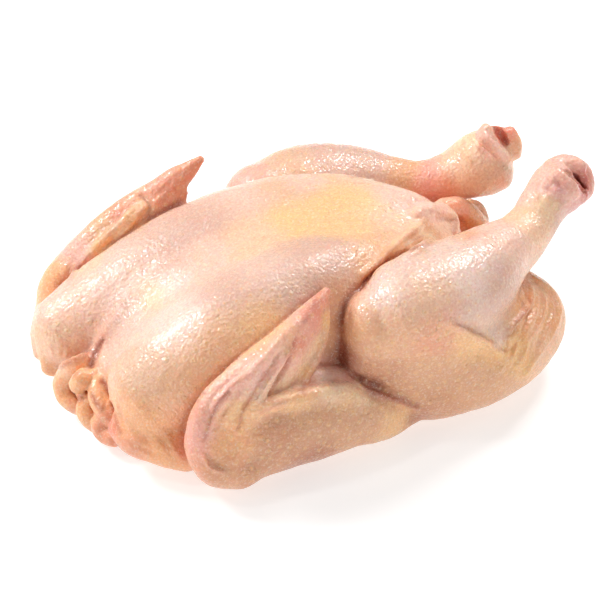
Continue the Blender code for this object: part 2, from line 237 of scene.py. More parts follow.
BIRD = [
    ("body", "core", [(-88, 4, 16, 18, 10, 14), (-74, 2, 22, 34, 22, 22), (-50, 0, 28, 42, 34, 28), (-20, 0, 30, 50, 41, 30),
                      (5, 0, 30, 50, 44.5, 30), (30, 0, 30, 44, 45.5, 30), (50, 0, 30, 36, 43, 30), (66, 0, 30, 26, 34, 30), (73, 0, 30, 20, 26, 30)],
     0, dict(caps=(0.6, 0.3), n=50, m=64, power=1.9)),
    ("body", "back", [(-70, 0, 14, 40, 16, 14), (-30, 0, 15, 50, 18, 15), (20, 0, 15, 52, 18, 15), (60, 0, 15, 50, 20, 15),
                      (84, 0, 13, 38, 15, 13), (94, 0, 11, 26, 11, 11)], 8, dict(caps=(0.8, 0.9), power=2.6)),
    ("body", "near_lobe", [(-82, -28, 28, 21, 22, 26), (-66, -30, 36, 26, 26, 34), (-48, -31, 41, 28, 31, 38), (-22, -29, 45, 28, 33.5, 42),
                           (10, -26, 46, 27, 31, 42), (42, -19, 46, 22, 23, 36), (64, -9, 44, 12, 12, 28)], 8, dict(caps=(0.72, 0.6), n=50, m=64)),
    ("body", "far_lobe", [(-96, 34, 25, 16, 17, 18), (-80, 33, 31, 22, 20, 28), (-58, 31, 37, 26, 25, 34), (-30, 29, 43, 29, 29, 40),
                          (6, 26, 46, 29, 30, 42), (42, 19, 46, 23, 24, 36), (64, 9, 46, 12, 13, 28)], 8, dict(caps=(0.8, 0.6), n=50, m=64)),
    ("body", "neck_base", [(-92, 6, 12, 16, 12, 12), (-84, 3, 17, 22, 17, 16), (-74, 0, 20, 28, 20, 19)], 3, dict(n=24, m=40, caps=(0.5, 0.8))),
    ("body", "far_tip", [(-97, 35, 23, 9, 9, 9), (-102, 32, 16, 7, 6, 7), (-104.5, 30, 11, 4.5, 4.5, 4.5)], 5, dict(n=20, m=32)),
    ("body", "near_low", [(-95, -30, 18.5, 7, 7, 7), (-92.5, -37, 17, 8, 8, 8), (-87.5, -42, 15.5, 8, 8, 8), (-81, -47, 14.5, 9, 9, 9),
                          (-75.5, -50, 13, 9, 9, 9)], 4, dict(n=24, m=32)),
    ("body", "keel_end", [(49.5, -14, 71, 2.5, 2.5, 2.5), (62, -8, 66.5, 3, 3, 3), (70.5, -4, 59.5, 3, 3, 3), (70.5, -6, 53, 3, 3, 3),
                          (63.5, -12, 51.5, 3, 3, 3)], 4, dict(n=24, m=24, up=(0, 1, 0))),

    ("near_leg", "near_thigh", [(5, -58, 45, 14, 18, 18), (18, -58, 36, 20, 26, 28), (38, -57, 29, 26, 35, 29), (60, -51, 25, 30, 33, 25),
                                (80, -41, 22, 27, 26, 22), (91, -34, 19, 22, 19, 18), (97, -29, 17, 16, 14, 14)], 0, {}),
    ("near_leg", "near_drum", [(5.5, -60, 57, 15, 15, 15), (12, -61, 58.5, 20, 20, 20), (26.5, -60, 60, 22.8, 21.5, 22), (50, -55, 62, 21.5, 18.6, 21),
                               (70, -48, 64.5, 15.2, 13.8, 15), (83, -43, 65.5, 12, 11, 12), (92, -39, 68, 10.5, 10.5, 10.5), (101, -35, 74.5, 11, 11, 11),
                               (109.5, -32, 78, 12.5, 12, 12), (115.5, -30, 78, 11, 11, 11)], LEG_BLEND, dict(caps=(0.9, 0.3))),
    ("near_leg", "knee_fold", [(29.5, -77, 56.5, 1.5, 1.5, 1.5), (37, -79, 52.5, 3, 3, 3), (46.5, -78, 45, 3.5, 3.5, 3.5), (55, -75, 35, 3.5, 3.5, 3.5),
                               (66, -70, 20.5, 3, 3, 3)], 4, dict(n=24, m=24)),
    ("near_leg", "flap", [(87, -46, 41, 5, 5, 5), (95, -48, 31.5, 5, 6, 6), (96, -52, 23.5, 5, 6, 6), (85, -60, 18.5, 5, 6, 6), (71.5, -66, 13, 4, 5, 5)],
     5, dict(n=24, m=32, up=(0, 1, 0))),
    ("near_leg", "near_rim", tube([(108, -27, 87), (114, -26, 86.5), (119.5, -27, 84), (124, -29, 78.5), (123.5, -32, 73), (117.5, -36, 72.5)], 2.6, 3, 3.6, 4, 4, 3.4), 2.2, dict(n=24, m=24)),
    ("near_leg", "near_lip", tube([(106, -33, 87), (108, -38.5, 85), (111.5, -41, 80.5), (115.5, -41, 76)], 2.6, 3, 2.8, 2.4), 1.8, dict(n=20, m=24)),
    ("near_leg", "-near_socket", tube([(111.3, -32, 89.8), (114, -36.5, 88), (116.5, -39, 83.8), (118.2, -40, 79.5)], 1.6, 2.7, 2.8, 1.6), 0.8, dict(n=16, m=24)),

    ("far_leg", "far_thigh", [(6, 58, 43, 15, 18, 20), (20, 57, 31, 20, 26, 28), (42, 52, 24, 25, 30, 27), (66, 43, 21, 29, 28, 24), (86, 34, 19, 29, 25, 22),
                              (96, 29, 15, 22, 18, 16)], 0, {}),
    ("far_leg", "far_drum", [(10, 58, 51, 15, 15, 15), (21.5, 60, 48, 20, 19, 19), (38, 60, 47.5, 22, 19.5, 21), (57.5, 54, 46.5, 20, 17.5, 20),
                             (73, 46, 46.5, 14, 13, 14), (84, 38, 49, 10.5, 10.5, 10), (95, 32, 53, 12.5, 11.5, 12), (106.5, 27, 58.5, 16, 15.5, 15),
                             (113, 24, 61.5, 15.5, 15, 14.5)], LEG_BLEND, dict(caps=(0.9, 0.5))),
    ("far_leg", "far_rim", tube([(101, 20, 79), (106.5, 20, 79), (111.5, 19, 76), (115, 18, 71.5), (115.5, 18, 65.5)], 2.6, 3.4, 4.6, 5, 4.2), 2, dict(n=20, m=24)),
    ("far_leg", "far_lip", tube([(101, 17, 78), (104.5, 14, 75), (109, 13.5, 70.5), (113, 14, 67)], 2.6, 2.8, 2.8, 2.4), 1.8, dict(n=20, m=24)),
    ("far_leg", "-far_socket", tube([(104, 18, 83.4), (107.5, 16, 81.3), (109.6, 15, 78), (111.2, 14.5, 74.5)], 1.4, 2.3, 2.4, 1.3), 0.8, dict(n=16, m=24)),

    ("near_arm", "near_arm", NEAR_ARM, 0, {}),
    ("near_wing", "near_fore", FOREARM, 0, dict(caps=(0.7, 0.8))),
    ("near_wing", "fore_ridge", tube([(-62, -70, 36), (-54, -72.5, 43), (-36.5, -72, 42), (-14, -70, 35.5), (2.5, -69, 25.5), (18, -68, 14)], 1.5, 2.6, 3, 3, 2.5, 2), 6, dict(n=30, m=24)),
    ("near_wing", "near_plate", [(-62, -66, 36, 8, 9, 9), (-49.5, -64, 42, 5.5, 9, 9), (-39.5, -64, 49.5, 4, 9, 9), (-29, -60, 56, 3.5, 10, 9),
                                 (-21.5, -57, 64.5, 2.5, 8, 8), (-16, -53, 70, 1.5, 4, 4)], 2, dict(caps=(0.7, 0.8))),
    ("near_wing", "near_lead", [(-60.7, -67, 12.6, 10, 10, 9), (-68.2, -66.5, 16.6, 10.5, 10, 9.5), (-73.7, -64.5, 26.6, 8.5, 8.5, 8.5), (-73.7, -64, 36.6, 6.5, 7, 8), (-67.7, -63, 44.6, 6.5, 7, 7),
                                (-58.2, -62, 51.6, 6.5, 6.5, 6.5), (-46.2, -60, 57.1, 6, 6, 6), (-34.1, -58, 62.6, 5.5, 5.5, 5.5), (-24.3, -55, 67.6, 4.5, 4.5, 4.5),
                                (-16.8, -52, 71.1, 3, 3, 3), (-12.5, -50, 73.1, 1.5, 2, 2)], lambda x, y, z: mix(z, 26, 50, 8, 1.4), dict(caps=(0.7, 0.8), up=(-1, 0, 0))),
    ("near_wing", "near_bone2", tube([(-67, -67, 29.5), (-63.5, -68, 41), (-57, -67, 51), (-48, -65, 58), (-38, -62, 64.5), (-26.5, -57, 69)],
                                     4, 4.5, 4.5, 4.2, 3.8, 2.6), 1.6, dict(n=30, m=32)),
    ("near_wing", "near_bone3", tube([(-62, -70, 34), (-57.5, -71, 44), (-50, -69, 51), (-43, -66, 57)], 3, 3.2, 3, 2.2), 2, dict(n=24, m=24)),
    ("near_wing", "near_trail", tube([(-56.5, -71, 41.5), (-45.5, -70, 42), (-35, -67, 42), (-26.5, -63, 47.5), (-20.5, -60, 54.5), (-16, -56, 63), (-13.5, -52, 69.5)],
                                     2.4, 2.5, 2.5, 2.2, 2, 1.6, 1.2), 1.5, dict(n=30, m=24)),

    ("far_wing", "far_arm", mirrored(ARM), 0, {}),
    ("far_wing", "far_fore", mirrored(FOREARM, dx=-10, dy=4), 3, {}),
    ("far_wing", "far_plate", [(-77, 60, 31, 6, 12, 12), (-59, 56, 50, 5, 8, 10), (-46, 55, 60.5, 4, 6, 9), (-34.5, 54, 66, 3.5, 5, 8), (-31, 54, 69, 2.5, 3.5, 5)],
     2, dict(caps=(0.7, 0.8))),
    ("far_wing", "far_lead", [(-86, 66, 17, 9, 12, 12), (-86, 66, 27, 8.5, 9, 12), (-79.5, 66, 35.5, 8, 8, 11), (-68, 65, 46.5, 7.5, 7.5, 10),
                              (-57.5, 64, 55, 7, 6.5, 9), (-48, 62, 61.5, 6.5, 6, 7), (-39, 59, 67, 6, 6, 7), (-29.5, 56, 75, 5, 5, 6.5),
                              (-24.5, 54, 79.5, 3, 3, 4), (-21, 53, 82.5, 1.5, 1.5, 1.8)], 2, dict(caps=(0.7, 0.8), up=(-1, 0, 0))),
    ("far_wing", "far_flap", tube([(-70.5, 58, 38.5), (-62, 58, 46), (-55, 57, 53.5), (-49, 56, 61), (-47, 56, 65.5)], 3, 3.4, 3.4, 3, 2), 1.5, dict(n=24, m=24)),

    ("neck", "inner", tube([(-97, 6, 17), (-97, -4, 14), (-96, -10, 11)], 6.5), 0, dict(n=12, m=24, up=(1, 0, 0))),
    ("neck", "side_roll", tube([(-104, 40, 13.5), (-103.5, 42, 23), (-99, 44, 30.5)], 5), 0, dict(n=12, m=24, up=(1, 0, 0))),
    ("neck", "collar", tube([(-96, 5, 28.5), (-100, 7, 27), (-103.5, 11, 21), (-105.5, 12.5, 14.5), (-105.5, 10, 10), (-104, 5.5, 8), (-101.5, 3, 6)],
                            3.2, 3.8, 4.4, 4.6, 4.2, 3.6, 3), 0.5, dict(n=30, m=32, up=(1, 0, 0))),
    ("neck", "curl", tube([(-98, -1, 27.6), (-101.5, -2, 26), (-103.5, -1, 22.6)], 3.6, 4.4, 4.2), 0.4, dict(n=16, m=32, up=(1, 0, 0))),
    ("neck", "roll_1", tube([(-96, -5.5, 25), (-97.5, -9, 22.5), (-98, -14, 20), (-97, -18.5, 17.5), (-95, -22, 14.5)], 4, 4.6, 4.7, 4.4, 4), 0.4, dict(n=24, m=32, up=(1, 0, 0))),
    ("neck", "roll_2", tube([(-100.5, -5.5, 17.5), (-102.3, -6.5, 14), (-101.8, -9, 10.5), (-100, -11, 7.5)], 3.8, 4.6, 4.7, 4.2), 0.4, dict(n=20, m=32, up=(1, 0, 0))),
    ("neck", "roll_3", tube([(-98.5, -17, 16), (-99.8, -16.5, 11), (-98.8, -19, 8), (-97, -23.5, 8.5)], 3.6, 4.6, 4.9, 4.6), 0.4, dict(n=20, m=32, up=(1, 0, 0))),

    ("tail", "tail", [(78, 2, 14, 24, 12, 12), (90, 4, 20, 16, 11, 11), (94, 4, 27, 9, 8, 8)], 0, dict(up=(1, 0, 0.3), caps=(0.8, 0.9))),
    ("tail", "vent_far", [(70, 12, 46, 5, 8, 26), (80, 13, 44, 5, 9, 26), (90, 11, 38, 5, 8, 22), (97, 7, 30, 4.5, 6, 12)], 3, dict(n=20, m=32)),
    ("tail", "vent_near", [(68, -13, 42, 5, 8, 24), (78, -14, 38, 5, 8, 22), (88, -11, 32, 5, 7, 18), (96, -4, 27, 4.5, 6, 12)], 3, dict(n=20, m=32)),
    ("tail", "strip", [(75.5, 7, 54.5, 5, 5, 4), (84.5, 8, 51.5, 5, 5, 4), (93, 8, 44, 5.5, 4, 5), (98.5, 6, 35, 6, 4, 5), (100.5, 2, 26.5, 6, 4, 5)],
     2, dict(n=24, m=32)),
    ("tail", "bit", tube([(94, 14, 47.5), (99, 14, 43.5), (100.5, 12, 38.5)], 2.6, 3, 3.1), 1.5, dict(n=16, m=24)),
]
GROUP_BLEND = {"near_leg": lambda x, y, z: mix(z, 12, 30, 8, 2), "far_leg": lambda x, y, z: mix(z, 12, 30, 8, 2),
               "near_arm": 2, "near_wing": 1.6, "far_wing": 3, "neck": 1.2, "tail": 3}

skin = Field(9.0)
for group in dict.fromkeys(row[0] for row in BIRD):
    part = Field(16.0 if "leg" in group else 9.0)
    for g, name, rows, k, how in BIRD:
        if g == group:
            (part.cut if name[0] == "-" else part.add)(loft(rows, **how), k)
    skin.join(part, GROUP_BLEND.get(group, 0))

# strands laid on the skin where the view shows them: kind, view points, radii, how deep, blend
STRANDS = [
    # ends of the hocks: pale lobes round a dark slit
    ("add", [(553, 178), (559, 171), (566, 174), (572, 182), (576, 192)], (2.4, 3, 3.2, 3, 2.4), 0.9, 0.9),
    ("add", [(567, 161), (577, 161), (586, 168), (591, 179), (590, 189)], (2.4, 3, 3.2, 3, 2.4), 1.6, 1.0),
    ("cut", [(565, 166), (571, 170), (578, 177), (584, 184), (587, 190)], (1.2, 2.2, 2.5, 2.1, 1.2), 1.0, 0.5),
    ("cut", [(569, 169), (577, 177), (584, 185)], (1.5, 2.3, 1.6), 3.8, 0.5),
    ("add", [(549, 196), (555, 190), (562, 188), (569, 193)], (1.6, 2, 2, 1.6), 0.9, 1.0),
    ("add", [(488, 122), (484, 131), (490, 140), (499, 147)], (2.2, 2.6, 2.6, 2.2), 1.2, 1.0),
    ("add", [(499, 119), (507, 125), (513, 133), (517, 142), (517, 152)], (2.2, 2.8, 3, 3, 2.8), 1.8, 1.2),
    ("cut", [(493, 122), (499, 129), (505, 136), (509, 142)], (1.2, 2, 2.1, 1.3), 0.6, 0.6),
    ("cut", [(497, 127), (504, 135)], (1.6, 1.6), 3.0, 0.6),
    # the flank: a cream strip of skin edge, striped muscle, the corner behind the keel
    ("add", [(362, 274), (378, 259), (396, 244), (414, 229), (432, 215)], (1.4, 2.2, 2.4, 2.4, 1.6), 1.2, 1.6),
    ("cut", [(360, 288), (374, 270), (392, 257), (412, 248), (428, 242)], (0.5, 1.0, 1.3, 1.2, 0.6), 0.4, 1.8),
    ("add", [(398, 263), (416, 250), (434, 239), (450, 229)], (1.4, 2.2, 2.4, 1.8), 1.2, 1.4),
    ("add", [(432, 208), (444, 209), (454, 215), (456, 226), (453, 238)], (1.4, 2, 2.4, 2.2, 1.6), 1.0, 1.4),
    # the cleft between the breast halves
    ("cut", [(90, 366), (94, 356), (99, 347), (106, 338)], (1.6, 2.2, 1.8, 0.6), -0.2, 2.4),
    # finger bones of the near wing
    ("add", [(246, 412), (253, 401), (263, 386), (275, 369), (287, 350), (296, 330)], (0.9, 1.8, 2.4, 2.4, 2, 1.0), 0.5, 1.0),
    ("add", [(214, 421), (222, 404), (238, 387), (256, 368), (276, 346), (296, 322)], (0.9, 2.0, 2.6, 2.6, 2.2, 1.0), 0.5, 1.2),
    ("cut", [(239, 428), (247, 407), (258, 390), (270, 370), (281, 350)], (0.8, 1.3, 1.4, 1.2, 0.7), 0.0, 1.0),
    ("cut", [(207, 438), (210, 428), (213, 418), (220, 402), (232, 388)], (0.5, 1.1, 1.4, 1.2, 0.7), 0.0, 1.0),
    ("cut", [(276, 384), (286, 368), (293, 349), (299, 333)], (0.7, 1.4, 1.4, 0.8), 0.0, 1.2),
    ("add", [(206, 452), (214, 466), (227, 473)], (1.0, 1.5, 1.0), 0.5, 0.8),
    # the flap of loose skin behind the drumstick
    ("add", [(538, 280), (551, 292), (557, 308), (551, 330), (538, 352), (526, 372)], (1.8, 2.8, 3.2, 3.2, 2.8, 2), 1.4, 1.6),
    ("cut", [(526, 290), (532, 302), (530, 318), (522, 336), (512, 354)], (0.6, 1.2, 1.4, 1.2, 0.6), -0.4, 1.6),
    # yellow thigh skin folded over the drumstick
    ("add", [(444, 323), (458, 328), (472, 334), (486, 341), (497, 348), (503, 360)], (0.9, 1.8, 2.2, 2.4, 2.2, 1.2), 0.7, 0.8),
    ("cut", [(458, 321), (470, 327), (482, 333), (492, 339), (502, 348), (510, 350)], (0.3, 0.7, 0.9, 1.0, 1.0, 0.5), 0.0, 1.2),
    # the far wing's flap of skin with its free tip
    ("add", [(92, 256), (106, 240), (122, 223), (136, 209), (147, 204)], (1.8, 2.8, 3.2, 3, 1.8), 1.0, 1.0),
    ("cut", [(140, 191), (146, 196), (151, 204), (149, 213)], (0.8, 1.1, 1.1, 0.7), 0.0, 1.2),
]


def first_skin(u, v):
    """Where the sight line through a point of the view first meets the flesh."""
    d = sight(u, v)
    t = np.arange(DIST - 190, DIST + 190, 0.4)
    pts = EYE + d * t[:, None]
    f = sample(skin.f, pts)
    ok = np.all((pts > np.array(LO) + 1) & (pts < np.array(HI) - 1), axis=1) & (f < 0)
    return pts[ok.argmax()] if ok.any() else None


for kind, line, radii, deep, k in STRANDS:
    line, radii = np.array(line, float), np.array(radii, float)
    fine_uv = smooth_rows(np.c_[line, np.zeros(len(line)), radii], 4 * (len(line) - 1) + 1)
    runs = [[]]
    for u, v, _, r in fine_uv:
        p = first_skin(u, v)
        if p is None or (runs[-1] and np.linalg.norm(p - runs[-1][-1][0]) > 4.5 + 0.6 * np.hypot(u - runs[-1][-1][2], v - runs[-1][-1][3])):
            runs.append([])
        if p is not None:
            runs[-1].append((p, r, u, v))
    run = max(runs, key=len)                       # a strand never bridges a gap
    if len(run) > 2:
        rows = [(*(p - BACK * deep), r, r, r) for p, r, _, _ in run]
        (skin.add if kind == "add" else skin.cut)(loft(rows[::2] if len(rows) > 6 else rows, n=32, m=20, up=tuple(BACK)), k)

# the resting side is pressed flat on the board
board = -np.broadcast_to(AX[2].reshape(1, 1, -1), SHAPE)
skin.f = -smin(-skin.f, -board, 2.0)

grid = openvdb.FloatGrid(9.0)
grid.copyFromArray(skin.f, ijk=tuple(int(x) for x in G0), tolerance=0.0)
grid.transform = TR
P, T, Q = grid.convertToPolygons(isovalue=0.0, adaptivity=0.0)
P = P.astype(float)
faces = [q[::-1] for q in Q.tolist()] + [t[::-1] for t in T.tolist()]
print("skin:", len(P), "points", len(faces), "faces", flush=True)

me = bpy.data.meshes.new("chicken_skin")
me.from_pydata(P.tolist(), [], faces)
me.update()


def normals():
    n = np.empty(len(me.vertices) * 3, np.float32)
    me.vertex_normals.foreach_get("vector", n)
    return n.reshape(-1, 3).astype(float)


def put(p):
    me.vertices.foreach_set("co", p.astype(np.float32).ravel())
    me.update()


# ---- noise -----------------------------------------------------------------
def _hash(i, j, k, seed):
    h = (i.astype(np.uint32) * np.uint32(374761393) + j.astype(np.uint32) * np.uint32(668265263)
         + k.astype(np.uint32) * np.uint32(2147483647) + np.uint32(seed * 7919 + 12345))
    h = (h ^ (h >> np.uint32(13))) * np.uint32(1274126177)
    h = (h ^ (h >> np.uint32(16))) * np.uint32(2246822519)
    return h ^ (h >> np.uint32(15))


def noise(p, seed=0):
    """Smooth gradient noise, about -1 to 1, one feature per unit."""
    c = np.floor(p).astype(np.int64)
    f = p - c
    w = f * f * f * (f * (f * 6 - 15) + 10)
    out = 0.0
    for a in (0, 1):
        for b in (0, 1):
            for d in (0, 1):
                h = _hash(c[:, 0] + a, c[:, 1] + b, c[:, 2] + d, seed)
                gx = ((h & np.uint32(1023)).astype(float) / 511.5) - 1
                gy = (((h >> np.uint32(10)) & np.uint32(1023)).astype(float) / 511.5) - 1
                gz = (((h >> np.uint32(20)) & np.uint32(1023)).astype(float) / 511.5) - 1
                dot = gx * (f[:, 0] - a) + gy * (f[:, 1] - b) + gz * (f[:, 2] - d)
                out = out + dot * (w[:, 0] if a else 1 - w[:, 0]) * (w[:, 1] if b else 1 - w[:, 1]) * (w[:, 2] if d else 1 - w[:, 2])
    return out * 1.4


def bvh():
    return BVHTree.FromPolygons([Vector(p) for p in P], faces)


N = normals()
def box_mean(f, r):
    """Mean of a field over a cube of 2r + 1 cells."""
    for ax in range(3):
        pad = [(0, 0)] * 3
        pad[ax] = (r + 1, r)
        c = np.cumsum(np.pad(f, pad, mode="edge"), axis=ax, dtype=np.float32 if r < 4 else np.float64)
        n = f.shape[ax]
        hi = [slice(None)] * 3
        lo = [slice(None)] * 3
        hi[ax], lo[ax] = slice(2 * r + 1, 2 * r + 1 + n), slice(0, n)
        f = ((c[tuple(hi)] - c[tuple(lo)]) / (2 * r + 1)).astype(np.float32)
    return f


# how hollow the skin is at each point, over a few mm and over a finger's width
solid = np.clip(skin.f, -4, 4)
hollow_fine = -sample(box_mean(box_mean(solid, 2), 2), P)
hollow_wide = -sample(box_mean(box_mean(solid, 5), 5), P)
hollow_fine = np.where(P[:, 2] > 3, hollow_fine, 0)
hollow_wide = np.where(P[:, 2] > 3, hollow_wide, 0)

tree = bvh()


def on_skin(u, v):
    hit = tree.ray_cast(Vector(EYE), Vector(sight(u, v)))
    return None if hit[0] is None else np.array(hit[0])


def drawn(points, step=1.2):
    """A curve drawn over the view through the given points and cast on the skin: the points where it meets the skin,
    and where each lies along the curve from 0 to 1.
    """
    r = np.array(points, float)
    t = np.concatenate([[0], np.cumsum(np.linalg.norm(np.diff(r, axis=0), axis=1))])
    m = np.gradient(r, t, axis=0) if len(r) > 2 else np.repeat((r[1:] - r[:1]) / t[1], 2, 0)
    q = np.linspace(0, t[-1], max(4, int(t[-1] / step)))
    k = np.clip(np.searchsorted(t, q, side="right") - 1, 0, len(t) - 2)
    h = (t[k + 1] - t[k])[:, None]
    s = ((q - t[k]) / (t[k + 1] - t[k]))[:, None]
    uv = ((2 * s**3 - 3 * s**2 + 1) * r[k] + (s**3 - 2 * s**2 + s) * h * m[k]
          + (-2 * s**3 + 3 * s**2) * r[k + 1] + (s**3 - s**2) * h * m[k + 1])
    pts, at = [], []
    for a, (u, v) in zip(q / t[-1], uv):
        p = on_skin(u, v)
        if p is not None:
            pts.append(p)
            at.append(a)
    return np.array(pts), np.array(at)


def near_curve(points, reach):
    """For the skin near a drawn curve: point numbers, distance in mm, place along it from 0 to 1."""
    c, at = drawn(points)
    idx = np.where(np.all((P > c.min(0) - reach) & (P < c.max(0) + reach), axis=1))[0]
    if not len(idx):
        return idx, np.zeros(0), np.zeros(0)
    d = np.linalg.norm(P[idx][:, None, :] - c[None, :, :], axis=2)
    k = d.argmin(1)
    d = d[np.arange(len(idx)), k]
    keep = d < reach
    return idx[keep], d[keep], at[k][keep]


dent = np.zeros(len(P))          # how far drawn creases sink the skin, for colour too
lift = np.zeros(len(P))


def crease(points, depth, width, lip=0.25, ends=0.18):
    """A crease: a groove with a soft swelling on both sides, fading at its ends."""
    i, d, a = near_curve(points, width * 4)
    fade = np.clip(np.minimum(a, 1 - a) / ends, 0, 1) ** 0.7 if ends else 1.0
    g = np.exp(-(d / width) ** 2) * fade
    lift[i] += -depth * g + lip * depth * np.exp(-((d - 2.0 * width) / (0.9 * width)) ** 2) * fade
    dent[i] = np.maximum(dent[i], depth * g)


def ridge(points, height, width, ends=0.2):
    i, d, a = near_curve(points, width * 3)
    fade = np.clip(np.minimum(a, 1 - a) / ends, 0, 1) ** 0.7 if ends else 1.0
    lift[i] += height * np.exp(-(d / width) ** 2) * fade


# the cleft between the breast halves, running up into a soft valley
crease([(92, 362), (97, 349), (105, 338), (113, 326), (124, 308)], 1.6, 3.0, lip=0.15, ends=0.5)
crease([(100, 345), (112, 325), (135, 296), (165, 272), (205, 250)], 1.3, 5.0, lip=0.1, ends=0.35)
crease([(98, 348), (84, 355), (68, 362), (58, 367)], 1.2, 1.6, lip=0.0, ends=0.2)
# crinkles on the far half's end
for line in ([(60, 338), (62, 346), (58, 356)], [(66, 342), (69, 350), (64, 359)], [(73, 345), (78, 351), (74, 357)], [(53, 345), (54, 354), (50, 362)]):
    crease(line, 0.4, 1.0)
# wrinkles down the near half's front edge
for line in ([(112, 392), (114, 408), (119, 424)], [(118, 398), (121, 414), (127, 430)], [(126, 410), (130, 424), (138, 436)], [(123, 437), (134, 438), (148, 444), (166, 449)],
             [(150, 426), (156, 438), (170, 450)], [(166, 428), (174, 444), (184, 458)], [(130, 447), (142, 450), (156, 457)], [(106, 386), (110, 395), (112, 405)]):
    crease(line, 0.55, 1.1)
# the near wing: its finger bones and the grooves between them
crease([(206, 438), (212, 420), (219, 403), (231, 388), (246, 372)], 1.5, 1.3)
crease([(235, 438), (239, 422), (248, 406), (256, 393), (265, 376), (275, 358)], 1.1, 1.1)
crease([(272, 392), (284, 372), (292, 350), (300, 330)], 0.7, 1.2)
crease([(262, 404), (278, 402), (297, 396)], 0.7, 1.0)
crease([(204, 453), (213, 466), (230, 472)], 0.9, 1.0)
crease([(218, 436), (224, 420), (234, 404), (246, 388)], 0.5, 1.0)
ridge([(247, 410), (262, 390), (275, 370), (288, 350), (297, 330)], 0.8, 1.6)
crease([(305, 322), (313, 306), (320, 294)], 0.6, 1.2)
# the corner of thigh skin behind the elbow
crease([(345, 372), (358, 381), (378, 392), (400, 400), (422, 410)], 1.3, 1.2, ends=0.08)
ridge([(350, 372), (366, 384), (388, 390), (410, 398)], 0.9, 2.2)
# yellow thigh skin folded over the drumstick
crease([(440, 316), (455, 323), (470, 330), (486, 338), (497, 345), (505, 352), (512, 352)], 1.0, 1.2, ends=0.25)
ridge([(444, 324), (460, 331), (478, 339), (490, 348), (498, 360)], 0.7, 2.0, ends=0.15)
# wrinkles of the loose flap
for line, deep in (([(534, 284), (532, 300), (520, 318), (508, 332)], 1.6), ([(545, 290), (546, 306), (538, 326), (526, 344)], 0.9),
                   ([(552, 296), (554, 312), (548, 330), (538, 350)], 0.8), ([(522, 322), (518, 342), (512, 362)], 0.8), ([(530, 336), (526, 352), (518, 368)], 0.7),
                   ([(540, 300), (537, 314), (528, 332), (522, 350)], 0.6), ([(512, 340), (508, 356), (500, 374)], 0.6)):
    crease(line, deep, 1.2)
# folds of the flank and the torso's far edge
crease([(362, 276), (378, 262), (394, 246), (410, 232), (426, 221)], 1.2, 1.2)
crease([(372, 268), (392, 254), (414, 240), (438, 232)], 0.9, 1.2)
ridge([(330, 172), (364, 175), (399, 183), (430, 196)], 0.6, 2.2)
crease([(336, 178), (366, 181), (398, 189), (428, 202)], 0.5, 2.0)
# the far wing's long groove and its flap
crease([(62, 292), (76, 270), (96, 246), (114, 228), (126, 216)], 1.2, 1.5)
crease([(118, 238), (132, 222), (144, 206), (150, 200)], 1.0, 1.2)
crease([(152, 204), (166, 192), (180, 178), (190, 168)], 0.6, 1.1)
# bruised, crinkled ends of the hocks
for line in ([(548, 172), (556, 182), (562, 194)], [(556, 164), (563, 176), (570, 190)], [(541, 182), (548, 192), (556, 200)], [(540, 172), (536, 186), (540, 198)],
             [(470, 130), (476, 144), (486, 156)], [(478, 126), (484, 140), (494, 152)], [(462, 136), (466, 150), (474, 162)]):
    crease(line, 0.5, 1.0)

# slow unevenness of flesh, and loose skin in long soft wrinkles round the trunk
lift += 0.40 * noise(P / 14.0, 3) + 0.20 * noise(P / 6.0, 4) + 0.07 * noise(P / 2.6, 5)
long_way = P * np.array([1 / 3.4, 1 / 9.0, 1 / 9.0])
trunk = np.exp(-((P[:, 0] - 20) / 60) ** 2) * np.clip((62 - np.abs(P[:, 1])) / 20, 0, 1)
lift += 0.10 * trunk * noise(long_way + noise(P / 9.0, 8)[:, None] * 0.8, 6)

# feather follicles: seeds kept apart on the skin, strong in the feather tracts
FOLLICLE = [  # view point, reach in mm, strength
    (360, 222, 17, 1.0), (320, 222, 14, 0.9), (400, 218, 12, 0.9), (290, 240, 10, 0.5), (255, 330, 15, 0.85), (285, 320, 14, 0.9), (200, 375, 14, 0.8), (160, 395, 12, 0.7),
    (440, 325, 16, 1.0), (395, 335, 14, 0.9), (470, 360, 14, 0.9), (420, 375, 16, 0.8), (500, 375, 12, 0.6), (390, 290, 9, 0.45),
    (260, 440, 15, 1.0), (320, 430, 16, 1.0), (370, 420, 14, 1.0), (230, 420, 8, 0.8), (265, 395, 6, 0.8), (210, 460, 8, 0.5), (300, 395, 8, 0.9),
    (80, 310, 14, 0.6), (60, 330, 8, 0.6), (110, 280, 12, 0.4), (130, 400, 12, 0.5), (150, 430, 10, 0.5), (70, 260, 8, 0.6), (110, 225, 8, 0.6),
    (300, 160, 14, 0.6), (360, 160, 12, 0.6), (480, 240, 8, 0.3), (545, 310, 8, 0.4), (330, 300, 10, 0.5)]
follicle = np.full(len(P), 0.16)
for u, v, reach, much in FOLLICLE:
    h = on_skin(u, v)
    for side in (1, -1):
        w = np.exp(-((P - h * (1, side, 1)) ** 2).sum(1) / (2 * reach**2))
        follicle = np.maximum(follicle, much * (1.0 if side == 1 else 0.75) * w)
SPACING = 4.7
rng = np.random.default_rng(7)
free = np.where(P[:, 2] > 2)[0]
seeds = KDTree(len(free))
for n, i in enumerate(free):
    seeds.insert(P[i], n)
seeds.balance()
open_ = np.ones(len(free), bool)
first = []
for n in rng.permutation(len(free)):
    if open_[n]:
        first.append(free[n])
        for _, m2, d in seeds.find_range(P[free[n]], SPACING * rng.uniform(0.72, 0.95)):
            open_[m2] = False
first = np.array(first)
seeds = KDTree(len(first))
size = rng.uniform(0.65, 1.2, len(first))
for n, i in enumerate(first):
    seeds.insert(P[i], n)
seeds.balance()
dist = np.empty(len(P))
which = np.empty(len(P), int)
for i in range(len(P)):
    _, which[i], dist[i] = seeds.find(P[i])
above = np.clip((P[:, 2] - 3) / 4, 0, 1)
print("follicles:", len(first), flush=True)
